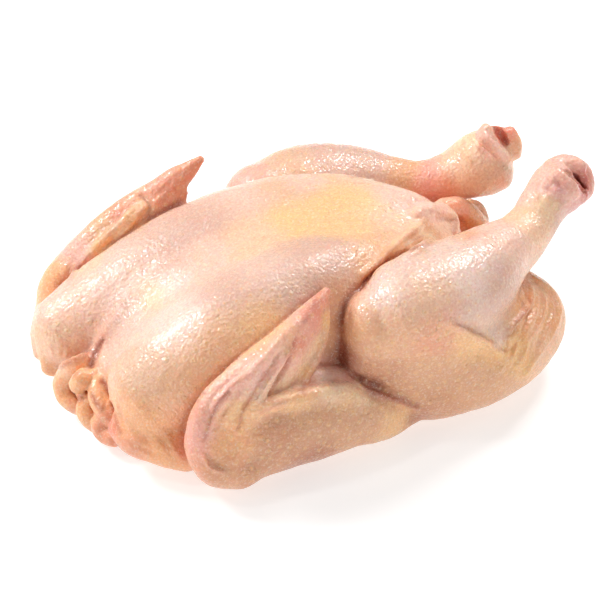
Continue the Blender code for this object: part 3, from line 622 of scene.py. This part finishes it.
lift += 0.22 * follicle * size[which] * np.exp(-(dist / 1.35) ** 2) * above

P = P + N * (lift * np.clip(P[:, 2] / 4, 0, 1))[:, None]
put(P)
N = normals()
tree = bvh()
SEEDS = P[first]

# ---- paint -----------------------------------------------------------------
def lin(c):
    c = np.asarray(c, float) / 255
    return np.where(c <= 0.04045, c / 12.92, ((c + 0.055) / 1.055) ** 2.4)


# colours of raw skin; the patches also use the dark ones as painted shade and the pale one partly as painted highlight
SHADE = {  # colours of raw skin, sRGB
    "flame": (250, 184, 132), "flesh": (246, 172, 138), "moss": (200, 140, 112), "petal": (250, 196, 178),
    "bone": (248, 228, 200), "cream": (248, 214, 176), "butter": (249, 200, 143), "gold": (240, 188, 112),
    "ochre": (224, 160, 92), "pale": (242, 216, 204), "shell": (243, 202, 184), "rose": (238, 186, 170),
    "blush": (238, 168, 152), "coral": (232, 136, 112), "wine": (196, 104, 98), "lilac": (230, 198, 182),
    "mauve": (216, 178, 162), "plum": (222, 160, 160), "peach": (242, 200, 168), "apricot": (240, 188, 148),
    "amber": (232, 172, 124), "salmon": (236, 162, 126), "sand": (226, 186, 156), "tan": (222, 169, 127),
    "clay": (208, 149, 110), "rust": (176, 108, 78), "umber": (150, 80, 58), "honey": (244, 192, 128),
}

# patches of colour: view point, reach in mm, shade. Most give the skin's own colour; some dark ones are painted shade
# and some light ones are painted light, marked below
PATCH = [
    (440, 222, 3.5, "peach"), (425, 232, 3, "cream"), (452, 218, 3, "peach"), (419, 247, 2.5, "clay"), (461, 233, 2.5, "sand"), (432, 239, 2.5, "clay"),
    # painted light: the bone and cream patches on the next three lines lighten spots in the near wing's creases and on
    # the upper arm that lie in shade
    (279, 387, 3.5, "bone"), (349, 386, 3.5, "bone"), (279, 360, 3.5, "petal"), (265, 347, 3, "tan"),
    (338, 387, 3, "bone"), (370, 254, 5, "tan"), (385, 243, 4, "tan"), (566, 212, 4, "mauve"), (573, 207, 2.5, "wine"),
    (505, 178, 3, "salmon"), (195, 472, 3, "clay"), (266, 388, 3, "bone"), (281, 384, 3, "cream"), (266, 413, 3, "cream"), (363, 400, 3, "cream"),
    (300, 340, 4, "coral"), (315, 318, 4, "coral"), (432, 226, 3, "tan"), (418, 236, 3, "tan"),
    # painted light: the cream patches at (279, 388) and (335, 388) lighten the same shaded spots
    (265, 380, 4, "petal"), (280, 368, 4, "petal"), (265, 413, 3.5, "flame"), (279, 388, 3.5, "cream"), (335, 388, 4, "cream"), (334, 375, 5, "pale"), (209, 430, 3, "petal"),
    (200, 425, 4, "blush"), (215, 402, 3.5, "rose"), (235, 382, 3.5, "rose"), (258, 357, 3.5, "rose"), (280, 333, 3.5, "rose"), (225, 418, 3, "flame"), (228, 440, 3.5, "flame"),
    # painted shade: the rust and umber patches here darken the forearm's underside and the crease at the thigh skin's
    # corner; the tan one darkens the gap between keel end and drumstick
    (545, 289, 4, "apricot"), (489, 149, 4, "pale"), (503, 149, 3.5, "shell"), (125, 233, 3, "cream"), (315, 455, 6, "rust"), (419, 415, 3.5, "rust"), (377, 380, 3.5, "umber"), (461, 231, 2.5, "tan"),
    # painted shade: the first four patches on this line darken the trunk's edge where it turns into shade
    (377, 247, 5, "amber"), (363, 261, 5, "tan"), (391, 233, 4, "amber"), (363, 245, 4, "sand"), (573, 205, 3.5, "plum"), (447, 178, 3, "salmon"), (111, 429, 3, "coral"),
    (100, 243, 3.5, "butter"), (137, 216, 3, "butter"), (118, 208, 3.5, "coral"), (165, 186, 4, "coral"), (192, 168, 4, "coral"), (180, 185, 3, "salmon"),
    (60, 300, 9, "shell"),
    (80, 330, 9, "peach"),
    (60, 350, 8, "peach"),
    (100, 300, 9, "shell"),
    (95, 330, 7, "rose"),
    (130, 265, 10, "lilac"),
    (125, 300, 8, "lilac"),
    (160, 240, 10, "mauve"),
    (200, 210, 10, "mauve"),
    (240, 190, 9, "shell"),
    (280, 185, 8, "sand"),
    (150, 290, 5, "cream"),
    (172, 277, 5, "pale"),
    (205, 252, 7, "shell"),
    (250, 235, 8, "peach"),
    (300, 214, 8, "butter"),
    (350, 200, 8, "butter"),
    (400, 194, 7, "shell"),
    (435, 205, 5, "shell"),
    (130, 335, 7, "shell"),
    # pale stretched skin, and partly a painted highlight on the shining spot of the near breast half
    (180, 320, 10, "pale"),
    (150, 370, 9, "sand"),
    (190, 375, 10, "apricot"),
    (140, 415, 8, "flame"),
    (165, 445, 7, "flame"),
    (220, 340, 9, "apricot"),
    (230, 290, 10, "mauve"),
    (270, 270, 9, "lilac"),
    (265, 325, 9, "butter"),
    (300, 290, 8, "mauve"),
    (310, 250, 9, "mauve"),
    (340, 255, 7, "mauve"),
    (338, 295, 7, "clay"),
    # painted shade on the near side of the trunk
    (330, 335, 5, "tan"),
    (350, 222, 8, "butter"),
    (390, 222, 7, "peach"),
    # painted shade in the gap between the near wing's hand and the knee
    (345, 352, 5, "rust"),
    (135, 450, 5, "salmon"),
    (402, 240, 5, "cream"),
    (430, 236, 4, "tan"),
    (372, 270, 4, "amber"),
    (365, 320, 6, "tan"),
    # pale skin, and partly a painted highlight on the shining spot of the knee
    (385, 290, 8, "pale"),
    (420, 265, 9, "lilac"),
    (460, 245, 8, "lilac"),
    (500, 232, 6, "shell"),
    (430, 300, 8, "peach"),
    # pale skin, and partly a painted highlight on the shining spot of the drumstick
    (475, 270, 8, "pale"),
    (500, 285, 7, "mauve"),
    (395, 335, 8, "apricot"),
    (440, 335, 7, "salmon"),
    (475, 347, 6, "honey"),
    (430, 370, 8, "tan"),
    (388, 372, 6, "clay"),
    (470, 380, 8, "tan"),
    (400, 398, 5, "clay"),
    (440, 405, 7, "clay"),
    (500, 388, 7, "tan"),
    (520, 360, 6, "honey"),
    (528, 300, 5, "amber"),
    (552, 318, 5, "amber"),
    (540, 345, 5, "apricot"),
    (530, 215, 5, "peach"),
    (548, 203, 4, "cream"),
    (530, 185, 5, "shell"),
    (545, 178, 3.5, "petal"),
    (556, 172, 3, "petal"),
    (548, 200, 3, "cream"),
    (555, 188, 3.5, "plum"),
    (565, 165, 4, "rose"),
    (582, 185, 3.5, "wine"),
    (570, 200, 4, "rose"),
    (195, 465, 5, "salmon"),
    (193, 440, 5, "blush"),
    (212, 405, 5, "petal"),
    (243, 372, 5, "petal"),
    (272, 345, 5, "petal"),
    (300, 315, 5, "rose"),
    (322, 295, 4, "coral"),
    (235, 412, 4, "butter"),
    (262, 378, 4, "rose"),
    (290, 342, 4, "apricot"),
    (312, 325, 4, "blush"),
    (316, 350, 4, "peach"),
    (296, 376, 4, "peach"),
    (272, 396, 4, "apricot"),
    (240, 440, 6, "flame"),
    (280, 440, 8, "clay"),
    (320, 430, 8, "tan"),
    (360, 425, 7, "tan"),
    (400, 412, 6, "butter"),
    (300, 402, 4, "butter"),
    (350, 394, 4, "butter"),
    (338, 377, 5, "petal"),
    (218, 474, 4, "clay"),
    (268, 464, 5, "clay"),
    (55, 275, 6, "flame"),
    (75, 245, 6, "rose"),
    (100, 220, 6, "tan"),
    (125, 203, 4, "salmon"),
    (140, 212, 4, "apricot"),
    (165, 190, 4, "salmon"),
    (190, 165, 4, "salmon"),
    (90, 262, 4, "peach"),
    (250, 170, 7, "rose"),
    (290, 160, 8, "sand"),
    (330, 152, 8, "mauve"),
    (370, 160, 8, "mauve"),
    (400, 170, 6, "tan"),
    (430, 176, 5, "blush"),
    (455, 165, 5, "peach"),
    (480, 168, 5, "peach"),
    (500, 170, 5, "peach"),
    (485, 138, 4, "petal"),
    (503, 135, 3, "coral"),
    (514, 150, 3.5, "apricot"),
    (300, 178, 5, "shell"),
    (468, 148, 5, "cream"),
    (60, 385, 4, "flame"),
    (78, 362, 4, "flame"),
    (83, 382, 3.5, "flame"),
    (104, 392, 3.5, "flame"),
    (89, 408, 3.5, "flame"),
    (110, 430, 4, "salmon"),
    (50, 368, 4, "amber"),
    (38, 335, 4, "amber"),
    (441, 212, 4, "shell"),
    (462, 210, 4, "flesh"),
    (478, 212, 3.5, "flame"),
    (468, 232, 4, "salmon"),
    (186, 447, 3, "coral"),
    (190, 425, 3, "blush"),
    (203, 408, 3, "coral"),
    (224, 388, 3, "blush"),
    (310, 310, 3, "coral"),
    (326, 285, 2.5, "coral"),
    (295, 362, 3, "petal"),
    (330, 318, 2.5, "butter"),
    (322, 343, 2.5, "butter"),
    (308, 372, 2.5, "butter"),
    (448, 328, 3, "butter"),
    (462, 336, 3, "butter"),
    (478, 346, 3, "butter"),
    (491, 354, 3.5, "honey"),
    (452, 311, 3.5, "rose"),
    (467, 319, 3.5, "lilac"),
    (483, 328, 3.5, "lilac"),
    (497, 335, 3.5, "lilac"),
    (487, 236, 4, "shell"),
]
BASE = lin((236, 194, 166))
acc = np.ones((len(P), 1)) * 1e-4 * BASE
wsum = np.full(len(P), 1e-4)
for u, v, reach, colour in PATCH:
    h = on_skin(u, v)
    if h is None:
        continue
    for side, share in ((1, 1.0), (-1, 0.01)):
        d2 = ((P - h * (1, side, 1)) ** 2).sum(1)
        w = share * (np.exp(-d2 / (2 * (reach * 0.8) ** 2)) + 0.004 * np.exp(-d2 / (2 * (reach * 2.5) ** 2)))
        acc += w[:, None] * lin(SHADE[colour])
        wsum += w
tone = acc / wsum[:, None]
grey = tone @ np.array([0.2126, 0.7152, 0.0722])
tone = np.clip(grey[:, None] + 1.05 * (tone - grey[:, None]), 0.01, 0.95)
# blood and shade gather in the folds
fold = np.clip((hollow_fine - 0.2) / 0.8, 0, 1) + np.clip(dent / 2.2, 0, 0.8) * 0.5
fold = np.clip(fold, 0, 1)[:, None]
tone = tone * (1 - fold * (1 - np.array([0.62, 0.30, 0.23])))
# painted shade: dark lines where skin tucks under skin and in the gaps between parts: view points, half width in mm,
# strength
PAINTED_SHADE_LINES = [
    ([(91, 364), (95, 354), (100, 345), (106, 337)], 1.6, 0.75), ([(98, 347), (84, 354), (68, 362), (58, 367)], 1.5, 0.6),
    ([(91, 358), (93, 366)], 1.8, 0.9), ([(100, 378), (107, 383), (111, 392)], 1.6, 0.8), ([(92, 390), (98, 402), (106, 410)], 1.5, 0.8),
    ([(74, 376), (82, 369)], 1.3, 0.6), ([(79, 394), (83, 402)], 2.2, 0.9), ([(113, 398), (117, 414), (123, 436)], 1.3, 0.5),
    ([(205, 440), (209, 430), (213, 418), (220, 402), (232, 388)], 1.0, 0.6), ([(239, 428), (247, 407), (258, 390), (270, 370), (281, 350)], 0.8, 0.35),
    ([(276, 384), (286, 368), (293, 349), (299, 333)], 1.6, 0.45), ([(305, 320), (313, 305), (320, 295)], 1.4, 0.5),
    ([(347, 340), (346, 352), (347, 364)], 2.6, 0.7), ([(364, 384), (376, 391), (390, 396), (406, 401), (424, 409)], 2.2, 0.8), ([(228, 452), (236, 462), (250, 470)], 3.0, 0.3),
    ([(346, 332), (346, 312), (351, 296), (361, 281)], 2.6, 0.65), ([(300, 396), (312, 376), (322, 358), (329, 336)], 1.5, 0.75),
    ([(258, 415), (276, 405), (296, 398)], 0.9, 0.35), ([(360, 288), (374, 269), (392, 256), (412, 247), (430, 241)], 1.2, 0.5),
    ([(470, 329), (482, 334), (494, 342), (503, 350)], 0.9, 0.3), ([(521, 296), (526, 308), (518, 324), (508, 338)], 1.6, 0.5),
    ([(565, 166), (572, 171), (579, 178), (587, 189)], 1.3, 0.8), ([(493, 122), (500, 130), (509, 142)], 1.3, 0.65),
    ([(54, 292), (66, 277), (84, 260)], 2.0, 0.6), ([(143, 219), (156, 213), (170, 206), (183, 199)], 2.2, 0.7), ([(143, 194), (149, 200), (151, 208)], 1.0, 0.3),
    ([(180, 432), (186, 418), (196, 402), (210, 388)], 1.6, 0.5), ([(458, 215), (456, 226), (455, 236)], 1.4, 0.6), ([(466, 197), (476, 206), (486, 222)], 1.3, 0.4),
]
# painted shade along these lines, strongest on each line and fading at its ends
painted_line_shade = np.zeros(len(P))
for line, width, much in PAINTED_SHADE_LINES:
    i, d, a = near_curve(line, width * 3)
    painted_line_shade[i] = np.maximum(painted_line_shade[i], much * np.exp(-(d / width) ** 2) * np.clip(np.minimum(a, 1 - a) / 0.15 + 0.3, 0, 1))
tone = tone * (1 - painted_line_shade[:, None] * (1 - np.array([0.48, 0.19, 0.13])))
# painted shade: the skin is darker and redder in wide hollows
low = np.clip((hollow_wide - 0.5) / 2.5, 0, 1)[:, None]
tone = tone * (1 - low * (1 - np.array([0.94, 0.74, 0.66])))
# slow mottling, pinker and yellower by turns
mottle = noise(P / 9.0, 21)[:, None] * np.array([0.015, 0.0, -0.05]) + noise(P / 3.5, 22)[:, None] * np.array([0.02, 0.03, 0.045])
tone = np.clip(tone * (1 + mottle), 0.01, 0.95)
# wet places, where the skin shines
WET = [(180, 318, 15, 1.0), (205, 298, 11, 1.0), (160, 345, 9, 0.9), (480, 262, 11, 1.0), (500, 245, 8, 0.9), (385, 290, 10, 1.0), (195, 440, 8, 0.9), (222, 400, 8, 0.9),
       (255, 375, 8, 0.8), (300, 395, 6, 0.7), (560, 180, 8, 0.8), (110, 312, 7, 0.8), (490, 145, 8, 0.8), (460, 165, 7, 0.7), (90, 240, 8, 0.6), (170, 180, 7, 0.7),
       (340, 160, 14, 0.8), (290, 165, 9, 0.8), (90, 385, 8, 0.8), (335, 372, 5, 0.9), (360, 230, 10, 0.5), (530, 215, 6, 0.6), (75, 330, 7, 0.6), (300, 260, 14, 0.5)]
wetness = np.full(len(P), 0.6)
for u, v, reach, much in WET:
    h = on_skin(u, v)
    for side in (1, -1):
        wetness = np.maximum(wetness, 0.6 + (max(much, 0.6) - 0.6) * np.exp(-((P - h * (1, side, 1)) ** 2).sum(1) / (2 * reach**2)))
for u, v, reach, much in ((148, 262, 13, 0.5), (112, 288, 9, 0.4), (395, 190, 13, 0.3), (385, 240, 9, 0.4), (440, 215, 7, 0.4)):
    h = on_skin(u, v)
    for side in (1, -1):
        wetness = wetness * (1 - much * np.exp(-((P - h * (1, side, 1)) ** 2).sum(1) / (2 * reach**2)))


# ---- thin, place, finish the mesh -----------------------------------------
amount = me.attributes.new("follicle", "FLOAT", "POINT")
amount.data.foreach_set("value", (follicle * above).astype(np.float32))
wet_at = me.attributes.new("wetness", "FLOAT", "POINT")
wet_at.data.foreach_set("value", wetness.astype(np.float32))
colour = me.color_attributes.new("tone", "FLOAT_COLOR", "POINT")
colour.data.foreach_set("color", np.concatenate([tone, np.ones((len(P), 1))], 1).astype(np.float32).ravel())

bird = bpy.data.objects.new("bird_skin", me)
bpy.context.scene.collection.objects.link(bird)


def apply_modifiers(obj):
    dg = bpy.context.evaluated_depsgraph_get()
    new = bpy.data.meshes.new_from_object(obj.evaluated_get(dg), preserve_all_data_layers=True, depsgraph=dg)
    obj.modifiers.clear()
    old = obj.data
    obj.data = new
    bpy.data.meshes.remove(old)
    return new


group = bird.vertex_groups.new(name="coarse")
tri = bird.modifiers.new("tri", "TRIANGULATE")
tris = 2 * len(Q) + len(T)
dec = bird.modifiers.new("thin", "DECIMATE")
dec.ratio = min(1.0, FACES / tris)
me = apply_modifiers(bird)
print("thinned to", len(me.polygons), "triangles", flush=True)

p = np.empty(len(me.vertices) * 3)
me.vertices.foreach_get("co", p)
p = p.reshape(-1, 3)
lo, hi = p.min(0), p.max(0)
cl, ch = np.array(CAD_LO), np.array(CAD_HI)
print("visual box mm", np.round(lo, 2), np.round(hi, 2), "CAD", np.round(cl * 1000, 2), np.round(ch * 1000, 2))
shift = np.array([-8.56, -0.15, 0.0])
p = (p + shift) / 1000
lo, hi = p.min(0), p.max(0)
p = cl + (p - lo) / (hi - lo) * (ch - cl)        # the skin fills the CAD box
spots = (cl + ((SEEDS + shift) / 1000 - lo) / (hi - lo) * (ch - cl)) * 1000
seeds = KDTree(len(spots))
for n, q in enumerate(spots):
    seeds.insert(q, n)
seeds.balance()
near = [seeds.find(q) for q in p * 1000]
spot = me.attributes.new("spot", "FLOAT_VECTOR", "POINT")
spot.data.foreach_set("vector", np.array([x[0] for x in near], np.float32).ravel())
spot_d = me.attributes.new("spot_d", "FLOAT", "POINT")
spot_d.data.foreach_set("value", np.array([x[2] for x in near], np.float32))
spot_s = me.attributes.new("spot_size", "FLOAT", "POINT")
spot_s.data.foreach_set("value", size[[x[1] for x in near]].astype(np.float32))
me.vertices.foreach_set("co", p.astype(np.float32).ravel())
me.update()
me.polygons.foreach_set("use_smooth", np.ones(len(me.polygons), bool))

# ---- material --------------------------------------------------------------
mat = bpy.data.materials.new("raw_skin")
mat.use_nodes = True
nt = mat.node_tree
nt.nodes.clear()
node = nt.nodes.new
link = nt.links.new


def math_node(op, a, b=None, c=None, clamp=False):
    m = node("ShaderNodeMath")
    m.operation = op
    m.use_clamp = clamp
    for i, x in enumerate((a, b, c)):
        if x is None:
            continue
        if isinstance(x, (int, float)):
            m.inputs[i].default_value = x
        else:
            link(x, m.inputs[i])
    return m.outputs[0]


def noise_node(vec, scale, detail=2.0, rough=0.5, dim3=True):
    n = node("ShaderNodeTexNoise")
    link(vec, n.inputs["Vector"])
    n.inputs["Scale"].default_value = scale
    n.inputs["Detail"].default_value = detail
    n.inputs["Roughness"].default_value = rough
    return n


def cells(vec, scale, feature="F1", randomness=1.0):
    n = node("ShaderNodeTexVoronoi")
    n.feature = feature
    link(vec, n.inputs["Vector"])
    n.inputs["Scale"].default_value = scale
    n.inputs["Randomness"].default_value = randomness
    return n


def ramp(x, a, b, lo=0.0, hi=1.0):
    m = node("ShaderNodeMapRange")
    m.interpolation_type = "SMOOTHSTEP"
    link(x, m.inputs["Value"])
    m.inputs["From Min"].default_value, m.inputs["From Max"].default_value = a, b
    m.inputs["To Min"].default_value, m.inputs["To Max"].default_value = lo, hi
    return m.outputs[0]


def tint(base, other, fac, how="MIX"):
    m = node("ShaderNodeMix")
    m.data_type = "RGBA"
    m.blend_type = how
    link(fac, m.inputs[0])
    link(base, m.inputs[6])
    if isinstance(other, tuple):
        m.inputs[7].default_value = (*other, 1)
    else:
        link(other, m.inputs[7])
    return m.outputs[2]


out = node("ShaderNodeOutputMaterial")
bsdf = node("ShaderNodeBsdfPrincipled")
link(bsdf.outputs[0], out.inputs[0])
coords = node("ShaderNodeTexCoord").outputs["Object"]
mm = node("ShaderNodeVectorMath")
mm.operation = "SCALE"
mm.inputs["Scale"].default_value = 1000.0
link(coords, mm.inputs[0])
mm = mm.outputs[0]
warp = noise_node(mm, 0.3, 2)
off = node("ShaderNodeVectorMath")
off.operation = "MULTIPLY_ADD"
link(warp.outputs["Color"], off.inputs[0])
off.inputs[1].default_value = (1.6, 1.6, 1.6)
link(mm, off.inputs[2])
wmm = off.outputs[0]

tone_a = node("ShaderNodeAttribute")
tone_a.attribute_name = "tone"
fol_a = node("ShaderNodeAttribute")
fol_a.attribute_name = "follicle"
fol = fol_a.outputs["Fac"]

peel = noise_node(wmm, 0.7, 0.8, 0.5)               # orange peel of wet skin, about 1.6 mm
fine = noise_node(mm, 1.9, 2, 0.5)
grain = cells(wmm, 0.8, "F1")

# each follicle is a soft dome with an orange pore; "spot" holds where the nearest one is
spot_a = node("ShaderNodeAttribute")
spot_a.attribute_name = "spot"
spot_da = node("ShaderNodeAttribute")
spot_da.attribute_name = "spot_d"
spot_sa = node("ShaderNodeAttribute")
spot_sa.attribute_name = "spot_size"
away = node("ShaderNodeVectorMath")
away.operation = "DISTANCE"
link(mm, away.inputs[0])
link(spot_a.outputs["Vector"], away.inputs[1])
inside = ramp(spot_da.outputs["Fac"], 1.8, 1.2)    # off where two follicles meet
much = math_node("MULTIPLY", math_node("MULTIPLY", fol, inside), spot_sa.outputs["Fac"])
dome = math_node("MULTIPLY", ramp(away.outputs["Value"], 1.8, 0.2), much)
pore = math_node("MULTIPLY", ramp(away.outputs["Value"], 0.62, 0.2), math_node("MULTIPLY", inside, ramp(spot_sa.outputs["Fac"], 0.62, 0.85)))
pore = math_node("MULTIPLY", pore, ramp(fol, 0.1, 0.5, 0.35, 1.0))

col = tone_a.outputs["Color"]
mott = noise_node(mm, 0.5, 3, 0.6)
col = tint(col, (0.94, 0.70, 0.44), ramp(mott.outputs["Fac"], 0.52, 0.75, 0, 0.35))
col = tint(col, (0.80, 0.40, 0.32), ramp(mott.outputs["Fac"], 0.48, 0.25, 0, 0.28))
speck = noise_node(mm, 1.1, 2, 0.6)
col = tint(col, (0.70, 0.30, 0.20), ramp(speck.outputs["Fac"], 0.5, 0.3, 0, 0.34))
col = tint(col, (0.98, 0.86, 0.72), ramp(speck.outputs["Fac"], 0.52, 0.72, 0, 0.40))
col = tint(col, (0.66, 0.32, 0.22), ramp(grain.outputs["Distance"], 0.3, 0.85, 0, 0.18))
between = math_node("MULTIPLY", ramp(spot_da.outputs["Fac"], 1.1, 2.2), math_node("MULTIPLY", fol, 0.18))
col = tint(col, (0.70, 0.36, 0.27), between)
col = tint(col, (0.96, 0.66, 0.38), math_node("MULTIPLY", dome, 0.46))
col = tint(col, (0.80, 0.33, 0.08), math_node("MULTIPLY", pore, 0.42))
link(col, bsdf.inputs["Base Color"])

wet = noise_node(mm, 0.09, 2)
link(ramp(wet.outputs["Fac"], 0.35, 0.65, 0.36, 0.5), bsdf.inputs["Roughness"])
bsdf.inputs["Specular IOR Level"].default_value = 0.5
bsdf.inputs["Subsurface Weight"].default_value = 0.35
bsdf.inputs["Subsurface Radius"].default_value = (1.0, 0.3, 0.14)
bsdf.inputs["Subsurface Scale"].default_value = 0.0026
wet_a = node("ShaderNodeAttribute")
wet_a.attribute_name = "wetness"
film = noise_node(wmm, 0.88, 1.0, 0.5)              # the film of water is broken into beads
link(math_node("MULTIPLY", wet_a.outputs["Fac"], ramp(film.outputs["Fac"], 0.47, 0.56, 0.08, 1.0)), bsdf.inputs["Coat Weight"])
bsdf.inputs["Coat Roughness"].default_value = 0.05
bsdf.inputs["Coat IOR"].default_value = 1.5

height = math_node("MULTIPLY", peel.outputs["Fac"], ramp(wet_a.outputs["Fac"], 0.6, 0.95, 0.47, 0.42))
height = math_node("MULTIPLY_ADD", fine.outputs["Fac"], 0.03, height)
height = math_node("MULTIPLY_ADD", grain.outputs["Distance"], -0.07, height)
height = math_node("MULTIPLY_ADD", dome, 0.5, height)
height = math_node("MULTIPLY_ADD", pore, -0.06, height)
bump = node("ShaderNodeBump")
bump.inputs["Strength"].default_value = 1.0
bump.inputs["Distance"].default_value = 0.001
link(height, bump.inputs["Height"])
link(bump.outputs[0], bsdf.inputs["Normal"])
link(bump.outputs[0], bsdf.inputs["Coat Normal"])
me.materials.clear()
me.materials.append(mat)

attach(bird, "root")
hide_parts("chicken")

# ---- stage, light, camera --------------------------------------------------
fm = bpy.data.meshes.new("floor")
fm.from_pydata([(-3, -3, 0), (3, -3, 0), (3, 3, 0), (-3, 3, 0)], [], [(0, 1, 2, 3)])
floor = bpy.data.objects.new("floor", fm)
bpy.context.scene.collection.objects.link(floor)
fmat = bpy.data.materials.new("floor_white")
fmat.use_nodes = True
fb = fmat.node_tree.nodes["Principled BSDF"]
fb.inputs["Base Color"].default_value = (0.55, 0.55, 0.55, 1)
fb.inputs["Roughness"].default_value = 0.9
fb.inputs["Specular IOR Level"].default_value = 0.0
fb.inputs["Emission Color"].default_value = (1, 1, 1, 1)
# painted light: the floor glows by itself, at 0.6 near the bird rising to full strength further out, which fades the
# bird's shadow and lights it from below
fnt = fmat.node_tree                                # near the bird a plain pale floor, brighter further out
fco = fnt.nodes.new("ShaderNodeTexCoord")
flen = fnt.nodes.new("ShaderNodeVectorMath")
flen.operation = "LENGTH"
fnt.links.new(fco.outputs["Object"], flen.inputs[0])
fmap = fnt.nodes.new("ShaderNodeMapRange")
fmap.interpolation_type = "SMOOTHSTEP"
for name, x in (("From Min", 0.09), ("From Max", 0.30), ("To Min", 0.6), ("To Max", 1.0)):
    fmap.inputs[name].default_value = x
fnt.links.new(flen.outputs["Value"], fmap.inputs["Value"])
fnt.links.new(fmap.outputs[0], fb.inputs["Emission Strength"])
fm.materials.append(fmat)
floor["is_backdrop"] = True

rim = [(2.9 * math.cos(a), 2.9 * math.sin(a)) for a in np.linspace(0, 2 * math.pi, 65)[:-1]]
bm = bpy.data.meshes.new("backdrop")
bm.from_pydata([(x, y, z) for z in (-0.05, 3.5) for x, y in rim], [], [(i, (i + 1) % 64, 64 + (i + 1) % 64, 64 + i) for i in range(64)])
backdrop = bpy.data.objects.new("backdrop", bm)
bpy.context.scene.collection.objects.link(backdrop)
bmat = bpy.data.materials.new("backdrop_white")
bmat.use_nodes = True
bb = bmat.node_tree.nodes["Principled BSDF"]
bb.inputs["Base Color"].default_value = (0.9, 0.9, 0.9, 1)
bb.inputs["Emission Color"].default_value = (1, 1, 1, 1)
bb.inputs["Emission Strength"].default_value = 1.0
bm.materials.append(bmat)
backdrop.visible_diffuse = backdrop.visible_glossy = backdrop.visible_shadow = False
backdrop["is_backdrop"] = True

scene = bpy.context.scene
world = bpy.data.worlds.new("studio")
scene.world = world
world.use_nodes = True
world.node_tree.nodes["Background"].inputs[0].default_value = (1, 1, 1, 1)
world.node_tree.nodes["Background"].inputs[1].default_value = 0.05


def softbox(name, az, el, size, power, dist=1.2, colour=(1, 1, 1)):
    """A rectangular soft light, az and el in degrees round the bird."""
    d = bpy.data.lights.new(name, "AREA")
    d.shape = "RECTANGLE"
    d.size, d.size_y = size
    d.energy = power
    d.color = colour
    o = bpy.data.objects.new(name, d)
    scene.collection.objects.link(o)
    a, e = math.radians(az), math.radians(el)
    back = Vector((math.sin(a) * math.cos(e), -math.cos(a) * math.cos(e), math.sin(e)))
    o.location = Vector((0, 0, 0.04)) + back * dist
    o.rotation_mode = "QUATERNION"
    o.rotation_quaternion = (-back).to_track_quat("-Z", "Y")


softbox("left_box", -86, 30, (0.5, 0.36), 2.2)
softbox("left_key", -136, 40, (0.34, 0.28), 10.6)
softbox("right_box", 60, 42, (0.42, 0.42), 1.2)
softbox("right_key", 114, 50, (0.34, 0.34), 9.0)
softbox("front_key", -98, 52, (0.14, 0.14), 2.0)
softbox("front_low", 10, 26, (0.5, 0.4), 2.9, colour=(1.0, 0.96, 0.9))
softbox("top_box", 0, 86, (0.5, 0.5), 0.6)

cam = bpy.data.cameras.new("camera")
cam.sensor_width = 36
cam.lens = PX * DIST / 600 * 36
cam.clip_start, cam.clip_end = 0.01, 20
cam_o = bpy.data.objects.new("camera", cam)
scene.collection.objects.link(cam_o)
cam_o.location = Vector((EYE + shift) / 1000)
cam_o.rotation_mode = "QUATERNION"
cam_o.rotation_quaternion = Vector(-BACK).to_track_quat("-Z", "Y")
scene.camera = cam_o
scene.view_settings.view_transform = "Standard"
scene.view_settings.look = "None"
scene.view_settings.exposure = 0.0
scene.view_settings.gamma = 1.0

lo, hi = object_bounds()
